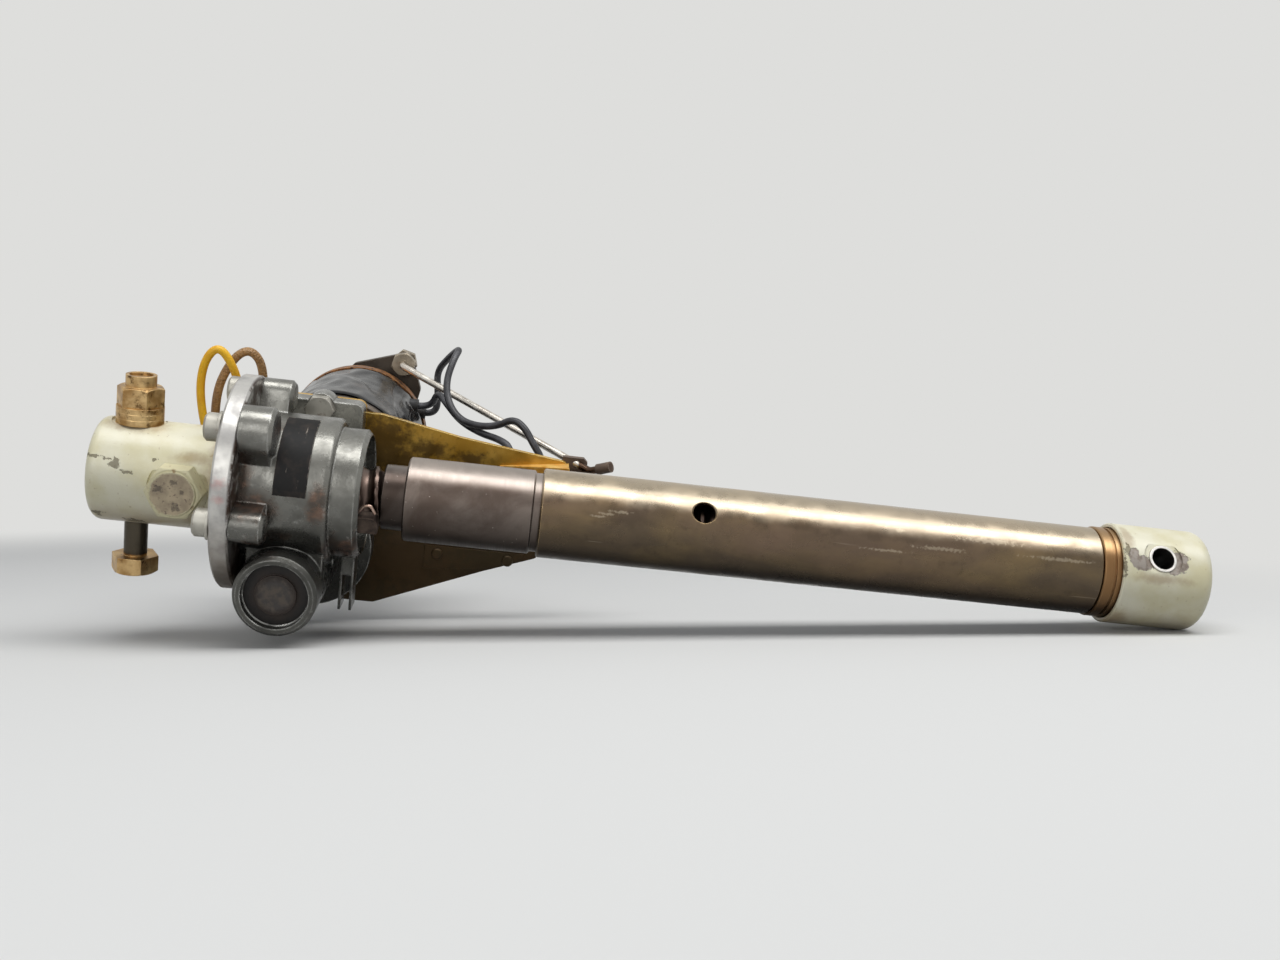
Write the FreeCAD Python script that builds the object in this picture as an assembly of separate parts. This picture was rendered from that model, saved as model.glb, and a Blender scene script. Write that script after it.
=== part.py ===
import FreeCAD, Part
import math
import os

Vector = FreeCAD.Vector
os.makedirs("parts", exist_ok=True)

# An electric screw jack that moves the flaps of a light aircraft. A motor lies across the screw and
# turns a worm through a pair of spur gears; the worm turns the screw, and the screw drives a nut
# and its extension tube out of the gear housing.
# X runs along the screw from the rear cross bolt to the end fitting. The motor lies towards +Y and
# the cross bolt stands along Z. Lengths are in millimetres.

X_AXIS = Vector(1, 0, 0)
Y_AXIS = Vector(0, 1, 0)
Z_AXIS = Vector(0, 0, 1)

# General clearances
RUN = 0.3
FIT = 0.03
BOLT_GAP = 0.12

# Rear fitting
FITTING_R = 18.1
FITTING_BACK = 13.0
FITTING_FRONT = 33.0
FITTING_EDGE = 3.0
FITTING_SOCKET_BACK = 9.0
SPOT_DEPTH = 0.9
SPOT_MARGIN = 1.1

# Cross bolt through the rear fitting
CROSS_R = 3.97
CROSS_HEAD_AF = 14.0
CROSS_HEAD_H = 6.0
CROSS_BELOW = 30.5
CROSS_POINT = 1.0
WASHER_R = 7.94
WASHER_T = 2.0
WASHER_COUNT = 3
LOCK_NUT_AF = 14.0
LOCK_NUT_H = 6.8
LOCK_COLLAR_R = 5.15
LOCK_COLLAR_H = 4.0

# Bolt that locks the rear fitting on the cover's spigot
LOCK_BOLT_X = 18.3
LOCK_BOLT_R = 4.76
LOCK_BOLT_DEPTH = 22.0
LOCK_HEAD_AF = 16.7
LOCK_HEAD_H = 7.2
LOCK_FACE_R = 7.55
LOCK_FACE_H = 0.5

# Cover plate
COVER_R = 37.5
COVER_T = 6.5
COVER_EDGE = 0.8
COVER_FLAT_GAP = 0.5
SPIGOT_R = 12.5
SPIGOT_BACK_GAP = 1.0
COVER_RING_T = 3.0

# Screws that hold the cover; angles are measured from -Y towards +Z
COVER_SCREW_CIRCLE = 31.7
SHORT_SCREW_ANGLE = 228.0
COVER_SCREW_ANGLES = (-12.0, 48.0, 108.0, SHORT_SCREW_ANGLE)
COVER_SCREW_R = 2.4
COVER_SCREW_HEAD_R = 4.8
COVER_SCREW_HEAD_H = 4.6
SCREW_HEAD_EDGE = 0.8
COVER_SCREW_REACH = 8.0
SHORT_SCREW_REACH = 4.3
COVER_WASHER_R = 5.6
COVER_WASHER_T = 1.0

# Gear housing
HOUSING_R = 25.8
HOUSING_LEN = 29.8
HOUSING_WALL = 2.9
NOSE_R = 22.8
NOSE_LEN = 9.7
NOSE_EDGE = 1.6
SHOULDER_EDGE = 2.0
NOSE_RIM = 2.0
NOSE_RECESS_DEPTH = 4.0
NOSE_WALL = 2.2
BOSS_LEN = 11.0
BOSS_R = 5.6
BOSS_EDGE = 1.2
BIG_BOSS_ANGLE = 48.0
BIG_BOSS_R = 8.6
EAR_X = 74.0
EAR_W = 4.8
EAR_SLOT = 3.0
EAR_DEPTH = 9.0
EAR_DROP = 21.0
EAR_SLOT_DROP = 13.0

# Label plate round the housing
LABEL_X0 = 51.0
LABEL_X1 = 62.0
LABEL_LOW = 8.0
LABEL_HIGH = 80.0
LABEL_T = 0.4

# Worm, worm wheel and the boss that carries them
WORM_X = 54.9
WHEEL_TEETH = 30
WHEEL_MODULE = 1.4
WHEEL_WIDTH = 11.0
WORM_PITCH_R = 8.9
WORM_LEN = 32.0
WORM_JOURNAL_R = 4.0
WORM_BOSS_R = 14.1
WORM_BOSS_FRONT = 32.0
WORM_BOSS_EDGE = 1.2
WORM_RIM_R = 11.3
WORM_RIM_DEPTH = 3.0
WORM_PLUG_T = 3.0
WORM_PLUG_STEP_R = 7.0
WORM_PLUG_STEP = 1.0
WORM_BEARING_W = 6.0

# Screw bearings
SCREW_REAR_R = 6.0
REAR_BEARING_R = 13.0
REAR_BEARING_W = 8.0
FRONT_JOURNAL_R = 8.5
FRONT_BEARING_R = 15.0
FRONT_BEARING_W = 8.0
BEARING_SIDE_GAP = 0.5
WHEEL_SEAT_R = 9.0

# Screw, nut barrel and extension tube
SCREW_R = 10.4
SCREW_END = 290.0
SCREW_POINT = 1.0
WIPER_R = 11.5
WIPER_START = 85.0
NUT_START = 93.0
NUT_END = 137.6
NUT_R = 14.9
NUT_EDGE = 0.6
GROOVE_R = 14.0
NUT_SPIGOT = 15.0
TUBE_START = 140.0
TUBE_END = 342.0
TUBE_R = 15.875
TUBE_BORE_R = 12.7
TUBE_EDGE = 0.6
TUBE_HOLE_X = 197.1
TUBE_HOLE_R = 3.97
TUBE_HOLE_CHAMFER = 0.3
HOLE_ANGLE = 39.0

# End fitting
NECK_R = 16.4
NECK_LEN = 6.0
NECK_GROOVE = 1.2
NECK_GROOVE_R = 15.7
NECK_GAP = 0.3
END_R = 18.25
END_LEN = 34.2
END_EDGE = 4.5
END_SOCKET_R = 16.8
END_SOCKET_DEPTH = 2.0
END_PLUG_LEN = 26.0
END_BORE_X = 362.8
END_BORE_R = 3.97
BUSH_R = 5.0
BUSH_PROUD = 0.5
END_FLAT = 17.4
END_FLAT_R = 7.0

# Spur gears between the motor and the worm
PINION_TEETH = 14
GEAR_TEETH = 32
GEAR_MODULE = 1.27
GEAR_FACE = 4.6
PINION_FACE = 5.0
PRESSURE_ANGLE = 20.0
ADDENDUM = 0.8
DEDENDUM = 1.1
BACKLASH = 0.22
FLANK_STEPS = 2
MOTOR_X = 61.5

# Gear case, bracket and motor
CASE_FRONT = 28.0
CASE_T = 8.0
CASE_WALL = 2.2
CASE_LEFT = 39.0
CASE_RIGHT = 72.0
CASE_TOP = 25.8
CASE_EDGE = 3.0
CASE_BOLT_AF = 9.5
CASE_BOLT_HEAD_H = 4.4
CASE_BOLT_R = 2.6
CASE_BOLT_X = 56.5
CASE_BOLT_TOP = 2.8
CASE_LUG_R = 5.5
BRACKET_T = 2.0
MOTOR_R = 27.4
MOTOR_WALL = 2.0
MOTOR_LEN = 70.0
SLEEVE_T = 1.2
SLEEVE_START = 3.0
SLEEVE_LEN = 53.0
BELL_LEN = 10.0
BAND_T = 1.1
BAND_W = 5.0
REAR_PLATE_T = 3.0
MOTOR_SHAFT_R = 4.0
ARMATURE_R = 18.0
ARMATURE_LEN = 34.0
FIELD_T = 6.0
COMMUTATOR_R = 10.0
COMMUTATOR_LEN = 12.0

# Bracket outline beyond the gear case, as corners in X and Z with their radii
BRACKET_TOP_A = (78.0, 21.4)
BRACKET_TOP_B = (107.5, 15.9)
BRACKET_TIP_TOP = (149.8, 10.5)
BRACKET_TIP_BOTTOM = (141.3, -28.5)
BRACKET_BOTTOM_B = (121.1, -36.0)
BRACKET_BOTTOM_A = (80.0, -53.0)
BRACKET_EDGE = 3.0

# Tie rod from the motor's rear plate past the bracket's tip
TIE_R = 1.45
TIE_X = 77.2
TIE_Z = 28.4
TIE_LEAD = 6.5
TIE_TAIL = 3.8
TIE_BEND = 4.0
TIE_CORNER = (157.5, 34.5, 8.6)
TIE_END = (165.1, 30.0, 12.2)
TIE_SLEEVE_R = 2.1
TIE_NUT_AF = 9.2
TIE_NUT_H = 3.2
ROD_LUG_X = (147.0, 156.5)
ROD_LUG_Z = (2.5, 12.2)
ROD_LUG_T = 3.0

# Limit switches on the back of the bracket
SWITCH_X = (118.0, 133.5)
SWITCH_TOP = 7.0
SWITCH_W = 13.0
SWITCH_H = 16.0
SWITCH_T = 6.5
SWITCH_EDGE = 1.0
SWITCH_SCREW_R = 1.1
SWITCH_SCREW_HEAD_R = 2.1
SWITCH_SCREW_HEAD_H = 1.4
SWITCH_SCREW_DROP = (3.5, 12.5)

# Folded strip on the near face of the bracket's tip
STRIP_START = (123.5, 6.7)
STRIP_END = (149.4, 10.3)
STRIP_T = 0.8
STRIP_REACH = 7.8
STRIP_LEG = 3.0
STRIP_LIP = 2.5
STRIP_LIP_SHARE = 0.6

# Doubler and its rivets
RIVET_HEAD_R = 2.2
RIVET_HEAD_H = 0.7
DOUBLER = (98.0, 136.0, -27.5, -37.0)
DOUBLER_T = 0.8

# Stop dog beside the screw and the lock wire round it
STOP_ANGLE = -20.0
STOP_RADIUS = 16.4
STOP_W = 6.4
STOP_T = 4.2
STOP_REACH = 6.5
WIRE_R = 0.55
WIRE_LOOP_ANGLE = 6.0

# Insulated leads
LEAD_R = 1.15
SLEEVED_R = 1.4
GROMMET_R = 2.6
GROMMET_LEN = 2.6
LEAD_BEND = 0.45


def corners_to_wire(corners, place):
    """Closed wire through flat corners; a third value rounds the corner, or cuts it off if negative."""
    count = len(corners)
    spans = []
    for i, corner in enumerate(corners):
        here = Vector(corner[0], corner[1], 0)
        radius = corner[2] if len(corner) > 2 else 0.0
        if radius == 0:
            spans.append((here, None, here))
            continue
        before = corners[i - 1]
        after = corners[(i + 1) % count]
        to_before = (Vector(before[0], before[1], 0) - here).normalize()
        to_after = (Vector(after[0], after[1], 0) - here).normalize()
        if radius < 0:
            spans.append((here - to_before * radius, None, here - to_after * radius))
            continue
        half = to_before.getAngle(to_after) / 2
        reach = radius / math.tan(half)
        middle = (to_before + to_after).normalize() * (radius / math.sin(half) - radius)
        spans.append((here + to_before * reach, here + middle, here + to_after * reach))
    edges = []
    for i in range(count):
        start, middle, end = spans[i]
        if middle is not None:
            edges.append(Part.Arc(place(start), place(middle), place(end)).toShape())
        elif (end - start).Length > 1e-6:
            edges.append(Part.makeLine(place(start), place(end)))
        following = spans[(i + 1) % count][0]
        if (following - end).Length > 1e-6:
            edges.append(Part.makeLine(place(end), place(following)))
    return Part.Wire(edges)


def turned_x(corners, y=0.0, z=0.0):
    """Solid turned about a line along X; corners are (x, radius)."""
    wire = corners_to_wire(corners, lambda p: Vector(p.x, y, z + p.y))
    return Part.Face(wire).revolve(Vector(0, y, z), X_AXIS, 360)


def turned_y(corners, x, z):
    """Solid turned about a line along Y; corners are (y, radius)."""
    wire = corners_to_wire(corners, lambda p: Vector(x, p.x, z + p.y))
    return Part.Face(wire).revolve(Vector(x, 0, z), Y_AXIS, 360)


def rod(radius, start, end):
    """Plain cylinder from one point to another."""
    run = Vector(end) - Vector(start)
    return Part.makeCylinder(radius, run.Length, Vector(start), run)


def rod_x(radius, x0, x1, y=0.0, z=0.0):
    return rod(radius, (x0, y, z), (x1, y, z))


def rod_y(radius, y0, y1, x, z):
    return rod(radius, (x, y0, z), (x, y1, z))


def rod_z(radius, z0, z1, x=0.0, y=0.0):
    return rod(radius, (x, y, z0), (x, y, z1))


def block(x0, x1, y0, y1, z0, z1):
    return Part.makeBox(x1 - x0, y1 - y0, z1 - z0, Vector(x0, y0, z0))


def slab_y(corners, y0, y1):
    """Plate with an outline in X and Z."""
    wire = corners_to_wire(corners, lambda p: Vector(p.x, y0, p.y))
    return Part.Face(wire).extrude(Vector(0, y1 - y0, 0))


def hexagon(across, start, end, turn=0.0):
    """Hexagonal prism from start to end with its outer corners eased, as on a bolt head."""
    start = Vector(start)
    run = Vector(end) - start
    corner_r = across / math.sqrt(3)
    points = []
    for i in range(7):
        angle = math.radians(60 * i + turn)
        points.append(Vector(corner_r * math.cos(angle), corner_r * math.sin(angle), 0))
    prism = Part.Face(Part.makePolygon(points)).extrude(Vector(0, 0, run.Length))
    ease = corner_r - across / 2
    blank = corners_to_wire([(0, 0), (corner_r, 0), (corner_r, run.Length - ease * 0.6),
                             (corner_r - ease, run.Length), (0, run.Length)],
                            lambda p: Vector(p.x, 0, p.y))
    head = prism.common(Part.Face(blank).revolve(Vector(0, 0, 0), Z_AXIS, 360))
    head.Placement = FreeCAD.Placement(start, FreeCAD.Rotation(Z_AXIS, run))
    return head


def around_screw(radius, angle):
    """Y and Z of a point at a radius and an angle measured from -Y towards +Z."""
    return -radius * math.cos(math.radians(angle)), radius * math.sin(math.radians(angle))


def fuse(shapes):
    return shapes[0].multiFuse(shapes[1:]).removeSplitter()


def save(name, shape):
    solids = shape.Solids
    kept = solids[0] if len(solids) == 1 else Part.makeCompound(solids)
    kept.exportStep("parts/" + name + ".step")


# Places that follow from the sizes above
SPOT_Z = FITTING_R - SPOT_DEPTH
WASHERS_TOP = SPOT_Z + WASHER_COUNT * WASHER_T
NUT_TOP = WASHERS_TOP + LOCK_NUT_H
SPIGOT_BACK = FITTING_SOCKET_BACK + SPIGOT_BACK_GAP
COVER_BACK = FITTING_FRONT
COVER_FRONT = COVER_BACK + COVER_T
SHOULDER_X = COVER_FRONT + HOUSING_LEN
NOSE_X = SHOULDER_X + NOSE_LEN
HOUSING_BORE_R = HOUSING_R - HOUSING_WALL
WHEEL_PITCH_R = WHEEL_TEETH * WHEEL_MODULE / 2
WORM_Z = -(WHEEL_PITCH_R + WORM_PITCH_R)
WORM_ROOT_R = WORM_PITCH_R - DEDENDUM * WHEEL_MODULE - RUN
WORM_BORE_R = WORM_RIM_R - 0.5
WORM_SEAT_Y = -(WORM_BOSS_FRONT - WORM_RIM_DEPTH - WORM_PLUG_T)
WORM_REAR_SEAT_Y = CASE_FRONT - WORM_BEARING_W
GEAR_CENTRES = GEAR_MODULE * (PINION_TEETH + GEAR_TEETH) / 2
MOTOR_Z = WORM_Z + math.sqrt(GEAR_CENTRES ** 2 - (MOTOR_X - WORM_X) ** 2)
GEAR_TIP_R = GEAR_MODULE * (GEAR_TEETH / 2 + ADDENDUM)
PINION_TIP_R = GEAR_MODULE * (PINION_TEETH / 2 + ADDENDUM)
CASE_BACK = CASE_FRONT + CASE_T
CASE_R = GEAR_TIP_R + RUN + CASE_WALL
MOTOR_FRONT = CASE_BACK + BRACKET_T
BELL_START = MOTOR_FRONT + MOTOR_LEN - BELL_LEN
MOTOR_BACK = MOTOR_FRONT + MOTOR_LEN
PLATE_BACK = MOTOR_BACK + REAR_PLATE_T
REAR_BEARING_X = COVER_FRONT
WHEEL_X0 = WORM_X - WHEEL_WIDTH / 2
WHEEL_X1 = WORM_X + WHEEL_WIDTH / 2
FRONT_BEARING_X1 = NOSE_X - NOSE_RECESS_DEPTH - NOSE_WALL
FRONT_BEARING_X0 = FRONT_BEARING_X1 - FRONT_BEARING_W
THREAD_START = FRONT_BEARING_X1 + BEARING_SIDE_GAP
NECK_END = TUBE_END + NECK_LEN
END_START = NECK_END + NECK_GAP
END_FACE = END_START + END_LEN
PLUG_START = END_START - END_PLUG_LEN


def hole_direction():
    """Outward direction of the cross holes in the tube and its end fitting."""
    y, z = around_screw(1.0, HOLE_ANGLE)
    return Vector(0, y, z)


def cross_rod(radius, x, inner, outer):
    """Cylinder along the cross holes' direction, between two distances from the axis."""
    base = Vector(x, 0, 0)
    return rod(radius, base + hole_direction() * inner, base + hole_direction() * outer)


# Gears
def involute_gear(teeth, module, width, toward):
    """Straight-toothed wheel along Y round the origin; a tooth points at the angle toward."""
    pitch_r = module * teeth / 2
    base_r = pitch_r * math.cos(math.radians(PRESSURE_ANGLE))
    tip_r = pitch_r + ADDENDUM * module
    root_r = pitch_r - DEDENDUM * module
    inv_pitch = math.tan(math.radians(PRESSURE_ANGLE)) - math.radians(PRESSURE_ANGLE)
    half_tooth = math.pi / (2 * teeth) - BACKLASH / 2 / (2 * pitch_r)
    start_r = max(base_r, root_r)
    flank = []
    if root_r < base_r:
        flank.append((root_r, half_tooth + inv_pitch))
    for i in range(FLANK_STEPS + 1):
        radius = start_r + (tip_r - start_r) * i / FLANK_STEPS
        phi = math.acos(min(1.0, base_r / radius))
        flank.append((radius, half_tooth + inv_pitch - (math.tan(phi) - phi)))
    points = []
    for tooth in range(teeth):
        centre = math.radians(toward) + 2 * math.pi * tooth / teeth
        for radius, half in flank:
            points.append((radius, centre - half))
        for radius, half in reversed(flank):
            points.append((radius, centre + half))
    corners = [Vector(r * math.cos(a), 0, r * math.sin(a)) for r, a in points]
    wire = Part.makePolygon(corners + [corners[0]])
    return Part.Face(wire).extrude(Vector(0, width, 0))


def mesh_angle():
    """Angle in X and Z from the pinion's centre to the gear's centre."""
    return math.degrees(math.atan2(WORM_Z - MOTOR_Z, WORM_X - MOTOR_X))


# Rear fitting and its bolts
def rear_fitting():
    body = turned_x([(-FITTING_BACK, 0), (-FITTING_BACK, FITTING_R, FITTING_EDGE), (FITTING_FRONT, FITTING_R),
                     (FITTING_FRONT, SPIGOT_R + FIT), (FITTING_SOCKET_BACK, SPIGOT_R + FIT),
                     (FITTING_SOCKET_BACK, 0)])
    spot_r = WASHER_R + SPOT_MARGIN
    lock_spot_r = LOCK_HEAD_AF / math.sqrt(3) + 0.5
    cuts = [rod_z(CROSS_R + BOLT_GAP, -FITTING_R - 1, FITTING_R + 1),
            rod_z(spot_r, SPOT_Z, FITTING_R + 1),
            rod_z(spot_r, -FITTING_R - 1, -SPOT_Z),
            rod_y(lock_spot_r, -FITTING_R - 1, -SPOT_Z, LOCK_BOLT_X, 0),
            rod_y(LOCK_BOLT_R + BOLT_GAP, -FITTING_R, 0, LOCK_BOLT_X, 0)]
    return body.cut(cuts)


def rear_cross_bolt():
    head = hexagon(CROSS_HEAD_AF, (0, 0, -CROSS_BELOW), (0, 0, -CROSS_BELOW - CROSS_HEAD_H))
    shank_top = NUT_TOP + LOCK_COLLAR_H - CROSS_POINT
    shank = rod_z(CROSS_R, -CROSS_BELOW, shank_top)
    return fuse([head, shank])


def rear_washers():
    washers = []
    for i in range(WASHER_COUNT):
        z0 = SPOT_Z + i * WASHER_T
        washers.append(rod_z(WASHER_R, z0, z0 + WASHER_T).cut(rod_z(CROSS_R + BOLT_GAP, z0, z0 + WASHER_T)))
    return Part.makeCompound(washers)


def rear_lock_nut():
    nut = hexagon(LOCK_NUT_AF, (0, 0, WASHERS_TOP), (0, 0, NUT_TOP))
    collar = rod_z(LOCK_COLLAR_R, NUT_TOP - 1, NUT_TOP + LOCK_COLLAR_H)
    return fuse([nut, collar]).cut(rod_z(CROSS_R + FIT, WASHERS_TOP, NUT_TOP + LOCK_COLLAR_H))


def fitting_lock_bolt():
    y_seat = -SPOT_Z
    head = hexagon(LOCK_HEAD_AF, (LOCK_BOLT_X, y_seat, 0), (LOCK_BOLT_X, y_seat - LOCK_HEAD_H, 0))
    face = rod_y(LOCK_FACE_R, y_seat - LOCK_HEAD_H - LOCK_FACE_H, y_seat - LOCK_HEAD_H + 1, LOCK_BOLT_X, 0)
    shank = rod_y(LOCK_BOLT_R, y_seat - 1, y_seat + LOCK_BOLT_DEPTH, LOCK_BOLT_X, 0)
    return fuse([head, face, shank])


# Cover plate
def cover_plate():
    ring_r = REAR_BEARING_R + COVER_RING_T
    ring_end = COVER_FRONT + REAR_BEARING_W
    body = turned_x([(SPIGOT_BACK, 0), (SPIGOT_BACK, SPIGOT_R), (COVER_BACK, SPIGOT_R),
                     (COVER_BACK, COVER_R, -COVER_EDGE), (COVER_FRONT, COVER_R, -COVER_EDGE),
                     (COVER_FRONT, ring_r), (ring_end, ring_r), (ring_end, REAR_BEARING_R + FIT),
                     (COVER_FRONT, REAR_BEARING_R + FIT), (COVER_FRONT, 0)])
    cuts = [rod_y(LOCK_BOLT_R + FIT, -SPIGOT_R, LOCK_BOLT_DEPTH - SPOT_Z + 0.5, LOCK_BOLT_X, 0)]
    for angle in COVER_SCREW_ANGLES:
        y, z = around_screw(COVER_SCREW_CIRCLE, angle)
        cuts.append(rod_x(COVER_SCREW_R + BOLT_GAP, COVER_BACK, COVER_FRONT, y, z))
    cuts.append(block(COVER_BACK, COVER_FRONT, CASE_FRONT - COVER_FLAT_GAP, COVER_R, -COVER_R, COVER_R))
    return body.cut(cuts)


def screw_reach(angle):
    """Thread length in the housing; the screw beside the worm's bearing is a short one."""
    return SHORT_SCREW_REACH if angle == SHORT_SCREW_ANGLE else COVER_SCREW_REACH


def cover_screws():
    screws = []
    washer_back = COVER_BACK - COVER_WASHER_T
    for angle in COVER_SCREW_ANGLES:
        y, z = around_screw(COVER_SCREW_CIRCLE, angle)
        head = turned_x([(washer_back - COVER_SCREW_HEAD_H, 0),
                         (washer_back - COVER_SCREW_HEAD_H, COVER_SCREW_HEAD_R, -SCREW_HEAD_EDGE),
                         (washer_back, COVER_SCREW_HEAD_R), (washer_back, 0)], y, z)
        shank = rod_x(COVER_SCREW_R, washer_back - 1, COVER_FRONT + screw_reach(angle), y, z)
        screws.append(fuse([head, shank]))
    return Part.makeCompound(screws)


def cover_washers():
    washers = []
    for angle in COVER_SCREW_ANGLES:
        y, z = around_screw(COVER_SCREW_CIRCLE, angle)
        disc = rod_x(COVER_WASHER_R, COVER_BACK - COVER_WASHER_T, COVER_BACK, y, z)
        hole = rod_x(COVER_SCREW_R + BOLT_GAP, COVER_BACK - COVER_WASHER_T, COVER_BACK, y, z)
        washers.append(disc.cut(hole))
    return Part.makeCompound(washers)


# Gear housing
def screw_boss(angle):
    """Boss for one cover screw with the web that ties it to the housing's wall."""
    radius = BIG_BOSS_R if angle == BIG_BOSS_ANGLE else BOSS_R
    y, z = around_screw(COVER_SCREW_CIRCLE, angle)
    boss = turned_x([(COVER_FRONT, 0), (COVER_FRONT, radius), (COVER_FRONT + BOSS_LEN, radius, -BOSS_EDGE),
                     (COVER_FRONT + BOSS_LEN, 0)], y, z)
    web = block(COVER_FRONT, COVER_FRONT + BOSS_LEN - BOSS_EDGE, -COVER_SCREW_CIRCLE,
                -HOUSING_BORE_R - 1, -radius, radius)
    web.rotate(Vector(0, 0, 0), X_AXIS, -angle)
    return boss.fuse(web)


def housing_outside():
    body = turned_x([(COVER_FRONT, 0), (COVER_FRONT, HOUSING_R), (SHOULDER_X, HOUSING_R, SHOULDER_EDGE),
                     (SHOULDER_X, NOSE_R), (NOSE_X, NOSE_R, -NOSE_EDGE), (NOSE_X, 0)])
    worm_boss = turned_y([(-WORM_BOSS_FRONT, 0), (-WORM_BOSS_FRONT, WORM_BOSS_R, -WORM_BOSS_EDGE),
                          (CASE_FRONT, WORM_BOSS_R), (CASE_FRONT, 0)], WORM_X, WORM_Z)
    saddle = block(WORM_X - WORM_BOSS_R * 0.92, WORM_X + WORM_BOSS_R * 0.92, -HOUSING_R * 0.72, CASE_FRONT,
                   WORM_Z, 0)
    pad_top = CASE_TOP - CASE_BOLT_TOP - CASE_BOLT_AF / 2 - 1.5
    pad = slab_y([(COVER_FRONT, WORM_Z, 3), (CASE_RIGHT - 3, WORM_Z, 3),
                  (CASE_RIGHT - 3, pad_top, 4), (COVER_FRONT, pad_top, 4)], 0, CASE_FRONT)
    ear = block(EAR_X - EAR_W / 2, EAR_X + EAR_W / 2, 0, EAR_DEPTH, -NOSE_R - EAR_DROP, -NOSE_R + 3)
    slot = block(EAR_X - EAR_SLOT / 2, EAR_X + EAR_SLOT / 2, 0, EAR_DEPTH, -NOSE_R - EAR_DROP,
                 -NOSE_R - EAR_DROP + EAR_SLOT_DROP)
    pieces = [body, worm_boss, saddle, pad, ear.cut(slot)]
    pieces += [screw_boss(angle) for angle in COVER_SCREW_ANGLES]
    return fuse(pieces)


def gear_housing():
    cuts = [rod_x(HOUSING_BORE_R, COVER_FRONT, FRONT_BEARING_X0),
            rod_x(FRONT_BEARING_R + FIT, FRONT_BEARING_X0 - 1, FRONT_BEARING_X1),
            rod_x(WIPER_R + 0.6, FRONT_BEARING_X1 - 1, NOSE_X),
            rod_x(NOSE_R - NOSE_RIM, NOSE_X - NOSE_RECESS_DEPTH, NOSE_X + 1),
            rod_y(WORM_BORE_R + FIT, -WORM_BOSS_FRONT, CASE_FRONT, WORM_X, WORM_Z),
            rod_y(WORM_RIM_R, -WORM_BOSS_FRONT, WORM_SEAT_Y - WORM_PLUG_T, WORM_X, WORM_Z)]
    for angle in COVER_SCREW_ANGLES:
        y, z = around_screw(COVER_SCREW_CIRCLE, angle)
        cuts.append(rod_x(COVER_SCREW_R + FIT, COVER_FRONT, COVER_FRONT + screw_reach(angle) + 0.3, y, z))
    return housing_outside().cut(cuts)


def label_plate():
    """Bare curved plate on the housing's near upper side."""
    inner = HOUSING_R + FIT
    ring = rod_x(inner + LABEL_T, LABEL_X0, LABEL_X1).cut(rod_x(inner, LABEL_X0, LABEL_X1))
    reach = HOUSING_R * 2
    points = [Vector(LABEL_X0, 0, 0)]
    for angle in (LABEL_LOW, (LABEL_LOW + LABEL_HIGH) / 2, LABEL_HIGH):
        y, z = around_screw(reach, angle)
        points.append(Vector(LABEL_X0, y, z))
    wedge = Part.Face(Part.makePolygon(points + [points[0]])).extrude(Vector(LABEL_X1 - LABEL_X0, 0, 0))
    return ring.common(wedge)


# Worm shaft and what carries it
def ball_race(outer, inner, start, width, along, centre):
    """Closed ball bearing drawn as one ring with a shallow shield step on both sides."""
    ring = rod(outer, centre + along * start, centre + along * (start + width))
    return ring.cut(rod(inner, centre + along * start, centre + along * (start + width)))


def worm_bearings():
    centre = Vector(WORM_X, 0, WORM_Z)
    front = ball_race(WORM_BORE_R, WORM_JOURNAL_R + FIT, WORM_SEAT_Y, WORM_BEARING_W, Y_AXIS, centre)
    rear = ball_race(WORM_BORE_R, WORM_JOURNAL_R + FIT, WORM_REAR_SEAT_Y, WORM_BEARING_W, Y_AXIS, centre)
    return Part.makeCompound([front, rear])


def worm_plug():
    y0 = WORM_SEAT_Y - WORM_PLUG_T
    return turned_y([(y0 - WORM_PLUG_STEP, 0), (y0 - WORM_PLUG_STEP, WORM_PLUG_STEP_R),
                     (y0, WORM_PLUG_STEP_R), (y0, WORM_BORE_R), (WORM_SEAT_Y, WORM_BORE_R),
                     (WORM_SEAT_Y, WORM_JOURNAL_R + 1), (y0 + 1, WORM_JOURNAL_R + 1), (y0 + 1, 0)],
                    WORM_X, WORM_Z)


def worm_shaft():
    gear_y0 = CASE_FRONT + CASE_WALL + RUN
    gear_y1 = gear_y0 + GEAR_FACE
    half = WORM_LEN / 2
    return turned_y([(WORM_SEAT_Y + RUN, 0), (WORM_SEAT_Y + RUN, WORM_JOURNAL_R), (-half, WORM_JOURNAL_R),
                     (-half, WORM_ROOT_R), (half, WORM_ROOT_R), (half, WORM_JOURNAL_R),
                     (gear_y1, WORM_JOURNAL_R), (gear_y1, 0)], WORM_X, WORM_Z)


def spur_gear():
    y0 = CASE_FRONT + CASE_WALL + RUN
    gap_angle = mesh_angle() + 180 + 180 / GEAR_TEETH
    wheel = involute_gear(GEAR_TEETH, GEAR_MODULE, GEAR_FACE, gap_angle)
    wheel.translate(Vector(WORM_X, y0, WORM_Z))
    return wheel.cut(rod_y(WORM_JOURNAL_R + FIT, y0, y0 + GEAR_FACE, WORM_X, WORM_Z))


# Screw, worm wheel and their bearings
def worm_wheel():
    wheel = involute_gear(WHEEL_TEETH, WHEEL_MODULE, WHEEL_WIDTH, 90)
    wheel.rotate(Vector(0, 0, 0), Z_AXIS, -90)
    wheel.translate(Vector(WHEEL_X0, 0, 0))
    return wheel.cut(rod_x(WHEEL_SEAT_R + FIT, WHEEL_X0, WHEEL_X1))


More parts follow.
